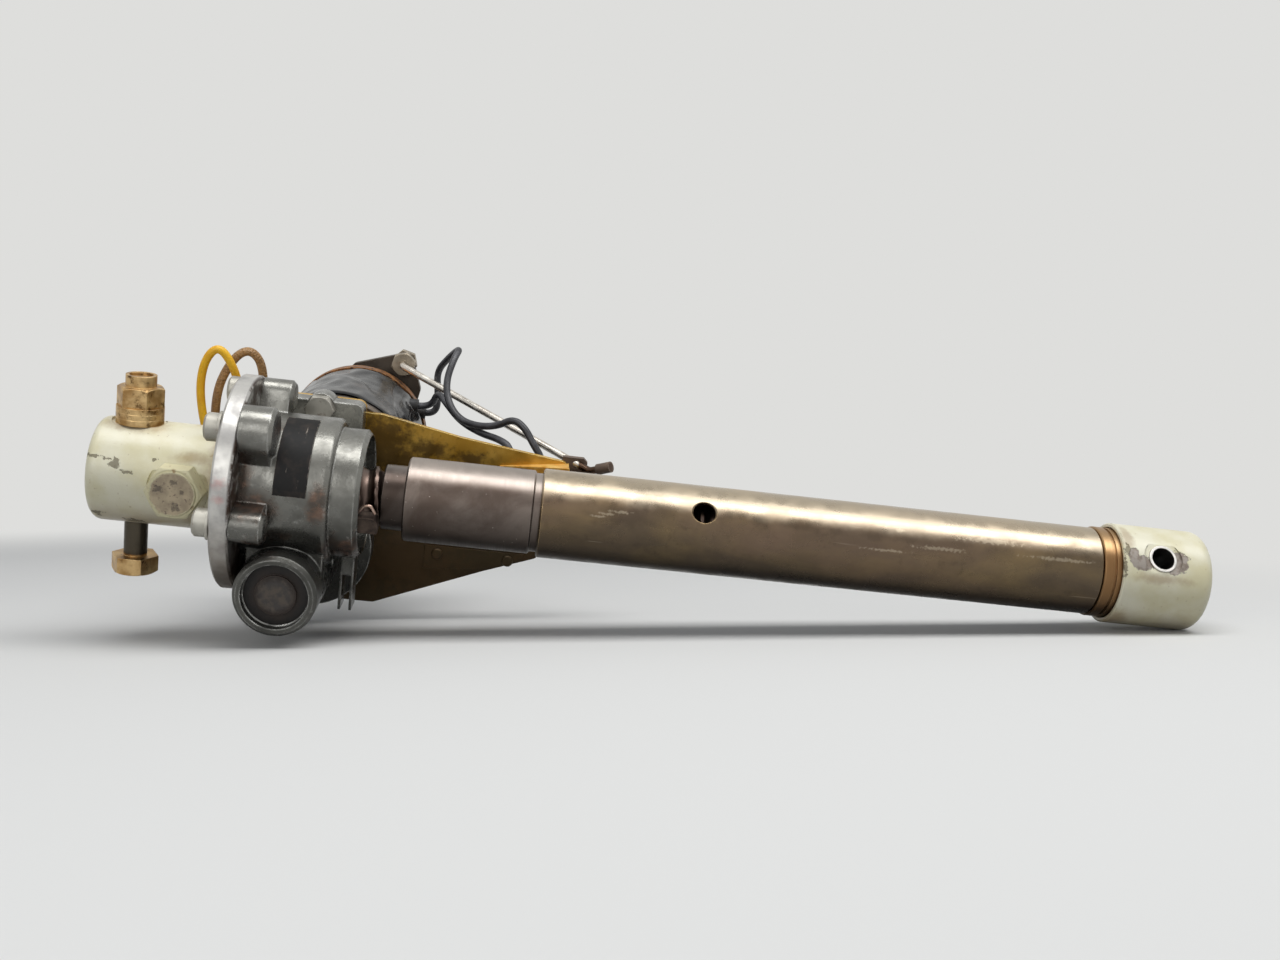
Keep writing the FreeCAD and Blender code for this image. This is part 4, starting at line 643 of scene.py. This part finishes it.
def moulded(name, cover, rough, woven=0.0):
    """Plastic or rubber with a faint grain; woven is the size of a varnished sleeve's threads, or 0."""
    n = Nodes(name)
    colour, worn = cover
    dark = tuple(v * 0.4 for v in colour)
    shade = n.mix(n.level(n.cloud(0.006, 5.0), 0.4, 0.7, 0.0, 0.8), colour, worn)
    shade = n.mix(n.level(n.cloud(0.0012, 4.0), 0.62, 0.74, 0.0, 0.5), shade, dark)
    grain = n.cloud(0.0006, 3.0)
    if woven:
        thread = n.cells(woven)
        grain = n.calc("ADD", grain, n.calc("MULTIPLY", thread, 2.0))
        shade = n.mix(n.level(thread, 0.3, 0.6, 0.0, 0.35), shade, worn)
    uneven = n.level(n.cloud(0.003, 3.0), 0.35, 0.65, rough, rough + 0.15)
    return n.finish(shade, uneven, 0.0, grain, (0.16 if woven else 0.03) * MM)


def lock_bolt_face(name):
    """The lock bolt's cream head with its face rubbed to brown metal and pitted."""
    n = Nodes(name)
    soft = n.softened(0.5 * MM)
    paint = n.mix(n.level(n.cloud(0.006, 5.0), 0.38, 0.66), CREAM_OLD, CREAM_GRIME)
    paint = n.mix(n.level(n.cloud(0.0022, 5.0), 0.56, 0.68), CREAM_OLD, paint)
    face = n.mix(n.level(n.cloud(0.004, 6.0), 0.36, 0.64), LOCK_FACE, LOCK_FACE_DULL)
    face = n.mix(n.level(n.cloud(0.0009, 4.0), 0.6, 0.7), face, LOCK_FACE_DARK)
    on_face = n.spots(LOCK_BOLT_BARE, 0.12, 0.002, 0.05)
    colour = n.mix(on_face, paint, face)
    pits = n.spots(LOCK_BOLT_PITS, 2.0, 0.0012, 0.4)
    colour = n.mix(n.calc("MULTIPLY", pits, 0.6), colour, BARE_DARK)
    height = n.calc("SUBTRACT", n.cloud(0.0008, 4.0), n.calc("MULTIPLY", pits, 1.6))
    return n.finish(colour, 0.5, n.calc("MULTIPLY", on_face, 0.15), height, 0.08 * MM, soft)


def dress(material, *names):
    """Give the named CAD nodes a material."""
    for name in names:
        slots = NODES[name].data.materials
        slots.clear()
        slots.append(material)


def dress_nodes():
    """Give every CAD node that stays visible its material."""
    dress(worn_cream("cream_fitting", FITTING_CHIPS, [], FITTING_GRIME), "rear_fitting")
    dress(worn_cream("cream_end", END_CHIPS, END_BARE, END_GRIME), "end_fitting")
    dress(lock_bolt_face("lock_bolt"), "fitting_lock_bolt")
    dress(plated("gold_plate", GOLD_METAL, rough=0.3, dirt=0.52), "rear_washers", "rear_lock_nut")
    dress(cross_bolt_plate("gold_bolt"), "rear_cross_bolt")
    dress(disc_plate("disc"), "cover_plate")
    dress(plated("dull_plate", DULL_METAL, rough=0.42, dirt=0.56, metallic=0.8),
          "cover_screws", "cover_washers", "case_bolt", "switch_screws")
    dress(bush_steel("bush_steel"), "end_bush")
    dress(plated("rusty_nut", NUT_METAL, rough=0.4, dirt=0.64), "tie_nuts")
    dress(grey_casting("casting", HOUSING_DIRT), "gear_housing", "gear_case")
    dress(black_foil("foil"), "label_plate")
    dress(plated("dark_plate", MOTOR_METAL, rough=0.38, dirt=0.64, patch=0.014),
          "motor_case", "motor_end_bell", "motor_rear_plate")
    dress(plated("stop_steel", STOP_METAL, rough=0.4, dirt=0.5), "stop_block")
    dress(plug_face("plug"), "worm_plug")
    # Wiper and barrel: painted highlight along the top and painted shade underneath, from turned()
    dress(turned("wiper", WIPER_METAL, rough=0.26, line=0.0008, low=BARREL_PAINTED_SHADE, blotch=0.1), "wiper_ring")
    dress(turned("barrel", BARREL_METAL, rough=0.3, low=BARREL_PAINTED_SHADE, blotch=0.25), "nut_barrel")
    dress(tube_skin("tube"), "extension_tube")
    # Neck: painted highlight along the top and painted shade in dark bronze underneath, from turned()
    dress(turned("neck", NECK_METAL, rough=0.28, low=BRONZE_DARK), "neck_ring")
    dress(yellow_chromate("chromate"), "support_bracket", "bracket_doubler", "bracket_rivets")
    dress(plated("strip_chromate", STRIP_METAL, rough=0.36, dirt=0.62, metallic=0.4), "bracket_strip")
    dress(plated("copper_band", BAND_METAL, rough=0.4, dirt=0.48), "motor_band")
    dress(plated("commutator_copper", COMMUTATOR_METAL, rough=0.36, dirt=0.52), "motor_commutator")
    dress(plated("lock_wire", WIRE_METAL, rough=0.3, dirt=0.5), "stop_wire")
    dress(rod_steel("bright_rod"), "tie_rod")
    dress(moulded("rod_tail", ROD_SLEEVE, rough=0.5), "tie_sleeve", "rod_lug")
    dress(plated("bearing", BEARING_METAL, rough=0.18, dirt=0.7), "worm_bearings", "screw_bearings")
    dress(plated("gear_steel", GEAR_METAL, rough=0.3, dirt=0.58), "worm_shaft", "spur_gear", "motor_pinion")
    dress(plated("wheel_bronze", WHEEL_METAL, rough=0.32, dirt=0.58), "worm_wheel")
    dress(plated("core", CORE_METAL, rough=0.42, dirt=0.55), "motor_field", "motor_shaft")
    dress(moulded("phenolic", PHENOLIC, rough=0.38), "limit_switches")
    dress(moulded("grommet_rubber", GROMMET, rough=0.55), "lead_grommets")


def grid_mesh(name, rings, closed_ends=True):
    """Mesh of a tube from rings of points, each ring round the tube."""
    verts = [point for ring in rings for point in ring]
    sides = len(rings[0])
    faces = []
    for i in range(len(rings) - 1):
        for j in range(sides):
            k = (j + 1) % sides
            faces.append((i * sides + j, i * sides + k, (i + 1) * sides + k, (i + 1) * sides + j))
    if closed_ends:
        faces.append(tuple(reversed(range(sides))))
        faces.append(tuple(range((len(rings) - 1) * sides, len(rings) * sides)))
    mesh = bpy.data.meshes.new(name)
    mesh.from_pydata(verts, [], faces)
    mesh.validate()
    mesh.update()
    for polygon in mesh.polygons:
        polygon.use_smooth = True
    mesh.set_sharp_from_angle(angle=SMOOTH_ANGLE)
    piece = bpy.data.objects.new(name, mesh)
    bpy.context.scene.collection.objects.link(piece)
    return piece


def ring_x(x, radius_at):
    """Ring of points round the X axis at x, with the radius that radius_at gives for each angle."""
    points = []
    for j in range(THREAD_SIDES):
        angle = 2 * math.pi * j / THREAD_SIDES
        radius = radius_at(angle)
        points.append((x, radius * math.cos(angle), radius * math.sin(angle)))
    return points


def thread_radius(x, angle, outside, end):
    """Radius of a rounded ball groove between narrow lands, run out at both ends."""
    turn = ((x - THREAD_START) / THREAD_LEAD - angle / (2 * math.pi)) % 1.0
    if turn < THREAD_LAND:
        return outside
    across = 2 * (turn - THREAD_LAND) / (1 - THREAD_LAND) - 1
    fade = min(1.0, (x - THREAD_START) / THREAD_LEAD, (end - x) / THREAD_LEAD)
    return outside - THREAD_DEPTH * max(fade, 0.0) * (1 - across * across) ** THREAD_ROUND


def screw_piece():
    """The jack screw with its thread, in place of the plain CAD screw."""
    low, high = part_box("lift_screw")
    outside = high.z
    rings = []
    for x, radius in ((low.x, SCREW_NECK), (THREAD_START - 2 * SCREW_STEP, SCREW_NECK),
                      (THREAD_START - SCREW_STEP, SCREW_JOURNAL)):
        rings.append(ring_x(x, lambda angle, r=radius: r))
    end = high.x - SCREW_CHAMFER
    count = int((end - THREAD_START) / THREAD_STEP)
    for i in range(count + 1):
        x = THREAD_START + (end - THREAD_START) * i / count
        rings.append(ring_x(x, lambda angle, at=x: thread_radius(at, angle, outside, end)))
    rings.append(ring_x(high.x, lambda angle: outside - SCREW_CHAMFER))
    piece = grid_mesh("screw_thread", rings)
    piece.data.materials.append(turned("screw_steel", SCREW_METAL, rough=0.26))
    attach(piece, "screw")
    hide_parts("lift_screw")


def sleeve_noise(around, y, lean, steps):
    """Noise at a place on the sleeve, pushed round it by lean."""
    rate, pace, start = steps
    return noise.noise(Vector((around.x * rate + lean, around.y * rate - lean, y * pace + start)))


def crease(theta, y):
    """Height from 0 to 1 of the sleeve's broad creases, which lean over along it."""
    around = Vector((math.cos(theta), math.sin(theta), 0.0))
    lean = sleeve_noise(around, y, 0.0, CREASE_LEAN)
    fold = sleeve_noise(around, y, lean, CREASE_FOLD)
    second = sleeve_noise(around, y, -lean, CREASE_SECOND)
    ridge = max(0.0, 1 - abs(fold) * CREASE_SHARP)
    ridge = ridge * ridge * (3 - 2 * ridge)
    return max(0.0, min(1.0, CREASE_BASE + CREASE_RIDGE * ridge + CREASE_SMALL * second))


def sleeve_piece():
    """The motor's shrunk sleeve with its creases, in place of the plain CAD one."""
    low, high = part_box("motor_sleeve")
    axis_x = (low.x + high.x) / 2
    axis_z = (low.z + high.z) / 2
    outside = (high.x - low.x) / 2
    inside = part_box("motor_case")[1].x - axis_x + SLEEVE_CLEAR
    rings = []
    for i in range(SLEEVE_ROWS + 1):
        share = i / SLEEVE_ROWS
        y = low.y + (high.y - low.y) * share
        tuck = min(1.0, min(share, 1 - share) * SLEEVE_TUCK)
        ring = []
        for j in range(SLEEVE_SIDES):
            theta = 2 * math.pi * j / SLEEVE_SIDES
            height = crease(theta, y)
            radius = outside + SLEEVE_LIFT - SLEEVE_CREASE * (1 - height)
            radius = inside + (radius - inside) * (SLEEVE_LIP + (1 - SLEEVE_LIP) * math.sqrt(tuck))
            ring.append((axis_x + radius * math.cos(theta), y, axis_z + radius * math.sin(theta)))
        rings.append(ring)
    piece = grid_mesh("sleeve_creased", rings, closed_ends=False)
    piece.data.materials.append(shrunk_sleeve("sleeve"))
    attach(piece, "housing")
    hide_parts("motor_sleeve")


# Leads, as thick as in the photograph, and the collars that they start from, in millimetres
LEAD_R = 1.4
YELLOW_R = 1.5
SLEEVED_R = 1.6
SLEEVE_THREAD = 0.0008
LEAD_STEPS = 12
LEAD_ROUND = 5
GROMMET_LEN = 2.6
SWITCH_TOP = 7.0
SHELL_R = 28.6
MOTOR_X = 61.5
MOTOR_Z = -1.4454


def collar_end(y, z, side):
    """Point where a lead meets its collar on the motor's side."""
    return (MOTOR_X + side * (math.sqrt(SHELL_R ** 2 - (z - MOTOR_Z) ** 2) + GROMMET_LEN), y, z)


# Each lead: its points, radius, main and worn colour, slot, and the size of its sleeving's threads
LEADS = {
    "lead_yellow": ([collar_end(50.0, 13.0, -1), (28.8, 50.0, 13.0), (27.4, 38.0, 16.5), (27.6, 27.0, 25.5),
                     (25.6, 22.5, 36.0), (20.2, 21.6, 43.2), (15.2, 22.0, 37.0), (14.0, 22.0, 25.0),
                     (17.4, 23.0, 8.0), (21.5, 32.0, -7.0), (25.5, 50.0, -12.0), collar_end(50.0, -12.0, -1)],
                    YELLOW_R, YELLOW_COVER, "yellow_pvc", 0.0),
    "lead_tan": ([collar_end(58.0, 10.0, -1), (27.6, 58.0, 10.0), (30.0, 47.0, 19.5), (34.2, 35.5, 26.5),
                  (33.4, 31.5, 37.5), (28.6, 30.2, 41.5), (23.0, 30.0, 36.6), (18.2, 28.6, 24.5),
                  (18.6, 30.0, 5.0), (22.0, 45.0, -5.0), (25.5, 58.0, -8.0), collar_end(58.0, -8.0, -1)],
                 SLEEVED_R, TAN_COVER, "tan_pvc", SLEEVE_THREAD),
    "switch_lead_a": ([collar_end(84.0, 16.0, 1), (92.0, 84.0, 16.0), (94.5, 80.0, 23.5), (98.6, 74.0, 20.5),
                       (105.3, 64.0, 16.0), (114.1, 54.0, 14.2), (122.4, 46.4, 14.2), (127.0, 41.8, 12.4),
                       (127.5, 41.3, SWITCH_TOP)], LEAD_R, BLACK_COVER, "black_pvc", 0.0),
    "switch_lead_b": ([collar_end(90.5, 12.0, 1), (94.0, 90.5, 12.0), (93.6, 92.5, 21.0), (92.4, 93.0, 29.5),
                       (97.0, 88.5, 36.5), (101.8, 83.0, 42.0), (100.0, 76.5, 38.5), (98.0, 70.5, 30.0),
                       (100.0, 65.0, 22.5), (105.5, 58.5, 17.6), (113.0, 53.6, 16.9), (120.5, 50.0, 18.6),
                       (126.6, 47.2, 22.8), (131.4, 44.8, 20.2), (135.4, 42.6, 14.4), (138.6, 41.5, 10.5),
                       (139.5, 41.3, SWITCH_TOP)], LEAD_R, BLACK_COVER, "black_pvc", 0.0),
}


def curve_length(piece):
    """Length of a curve's own line."""
    bevel = piece.data.bevel_depth
    piece.data.bevel_depth = 0.0
    graph = bpy.context.evaluated_depsgraph_get()
    graph.update()
    line = bpy.data.meshes.new_from_object(piece.evaluated_get(graph))
    ends = [[line.vertices[i].co for i in edge.vertices] for edge in line.edges]
    total = sum((a - b).length for a, b in ends)
    bpy.data.meshes.remove(line)
    piece.data.bevel_depth = bevel
    return total


def lead_piece(name):
    """One lead; its thickness is in its points, since a curve's box grows by each point's radius."""
    points, radius, cover, slot, woven = LEADS[name]
    curve = bpy.data.curves.new(name + "_curve", "CURVE")
    curve.dimensions = "3D"
    curve.resolution_u = LEAD_STEPS
    curve.bevel_depth = 1.0
    curve.bevel_resolution = LEAD_ROUND
    curve.use_fill_caps = True
    spline = curve.splines.new("NURBS")
    spline.points.add(len(points) - 1)
    for point, place in zip(spline.points, points):
        point.co = tuple(v * MM for v in place) + (1.0,)
        point.radius = radius * MM
    spline.order_u = 3
    spline.use_endpoint_u = True
    piece = bpy.data.objects.new(name + "_wire", curve)
    bpy.context.scene.collection.objects.link(piece)
    curve.materials.append(moulded(name + "_cover", cover, rough=0.34, woven=woven))
    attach(piece, "housing")
    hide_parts(name)
    curve_length(piece)


def pale_rays(n):
    """1 for rays that come from the camera or from gloss or glass, 0 for scattered light."""
    path = n.new("ShaderNodeLightPath")
    seen = n.calc("MAXIMUM", path.outputs["Is Camera Ray"], path.outputs["Is Glossy Ray"])
    return n.calc("MAXIMUM", seen, path.outputs["Is Transmission Ray"])


def add_floor():
    """Pale floor under the jack, seen from above only, that keeps its shadow."""
    mesh = bpy.data.meshes.new("floor")
    r = FLOOR_REACH
    mesh.from_pydata([(-r, -r, 0), (r, -r, 0), (r, r, 0), (-r, r, 0)], [], [(0, 1, 2, 3)])
    floor = bpy.data.objects.new("floor", mesh)
    bpy.context.scene.collection.objects.link(floor)
    floor.rotation_mode = "QUATERNION"
    floor.rotation_quaternion = Vector((0, 0, 1)).rotation_difference(FLOOR_NORMAL)
    lowest = min(FLOOR_NORMAL.dot(v.co) for node in NODES.values() for v in node.data.vertices)
    floor.location = FLOOR_NORMAL * lowest
    n = Nodes("floor_pale")
    n.feed(n.shader.inputs["Base Color"], n.mix(pale_rays(n), FLOOR_SHADE, PALE))
    n.shader.inputs["Roughness"].default_value = 0.9
    n.shader.inputs["Specular IOR Level"].default_value = 0.1
    far_glow = n.new("ShaderNodeEmission")
    n.feed(far_glow.inputs["Color"], PALE)
    far = n.level(n.vector("LENGTH", n.place)["Value"], FLOOR_NEAR, FLOOR_FAR)
    seamless = n.new("ShaderNodeMixShader")
    n.feed(seamless.inputs[0], n.calc("MULTIPLY", far, pale_rays(n)))
    n.feed(seamless.inputs[1], n.shader.outputs[0])
    n.feed(seamless.inputs[2], far_glow.outputs[0])
    clear = n.new("ShaderNodeBsdfTransparent")
    two_sided = n.new("ShaderNodeMixShader")
    geometry = n.new("ShaderNodeNewGeometry")
    n.feed(two_sided.inputs[0], geometry.outputs["Backfacing"])
    n.feed(two_sided.inputs[1], seamless.outputs[0])
    n.feed(two_sided.inputs[2], clear.outputs[0])
    n.feed(n.tree.nodes["Material Output"].inputs["Surface"], two_sided.outputs[0])
    mesh.materials.append(n.material)


def add_world():
    """Even light on the object, and the pale backdrop for the rays that see it."""
    world = bpy.data.worlds.new("studio")
    bpy.context.scene.world = world
    world.use_nodes = True
    n = Tree(world.node_tree)
    n.feed(n.tree.nodes["Background"].inputs["Color"], n.mix(pale_rays(n), WORLD_LIGHT, PALE))


def add_lamp(name, place, target, size, power):
    """Lamp with its long side along the screw, so that its shine runs along the tube."""
    lamp = bpy.data.lights.new(name, "AREA")
    lamp.shape = "RECTANGLE"
    lamp.size = size[0]
    lamp.size_y = size[1]
    lamp.energy = power
    holder = bpy.data.objects.new(name, lamp)
    bpy.context.scene.collection.objects.link(holder)
    holder.location = place
    holder.rotation_mode = "QUATERNION"
    aim = (Vector(target) - Vector(place)).normalized()
    side = Vector((1, 0, 0)) - aim * aim.x
    holder.rotation_quaternion = Matrix((side, (-aim).cross(side), -aim)).transposed().to_quaternion()


def add_camera():
    """Camera as fitted to the photograph's view."""
    camera = bpy.data.cameras.new("camera")
    camera.lens = CAMERA_LENS
    camera.sensor_width = CAMERA_SENSOR
    camera.clip_start = CAMERA_NEAR
    camera.clip_end = CAMERA_FAR
    holder = bpy.data.objects.new("camera", camera)
    bpy.context.scene.collection.objects.link(holder)
    holder.rotation_mode = "QUATERNION"
    level = CAMERA_LOOK.to_track_quat("-Z", "Y")
    holder.rotation_quaternion = level @ Quaternion((0, 0, 1), CAMERA_ROLL)
    holder.location = CAMERA_PLACE
    bpy.context.scene.camera = holder


add_camera()
for lead_name in LEADS:
    lead_piece(lead_name)
dress_nodes()
screw_piece()
sleeve_piece()
add_floor()
add_world()
add_lamp("key", BOX_MIDDLE + KEY_PLACE, BOX_MIDDLE, KEY_SIZE, KEY_POWER)
add_lamp("front", BOX_MIDDLE + FRONT_PLACE, BOX_MIDDLE, FRONT_SIZE, FRONT_POWER)
bpy.context.scene.view_settings.view_transform = "Standard"

bpy.context.view_layer.update()
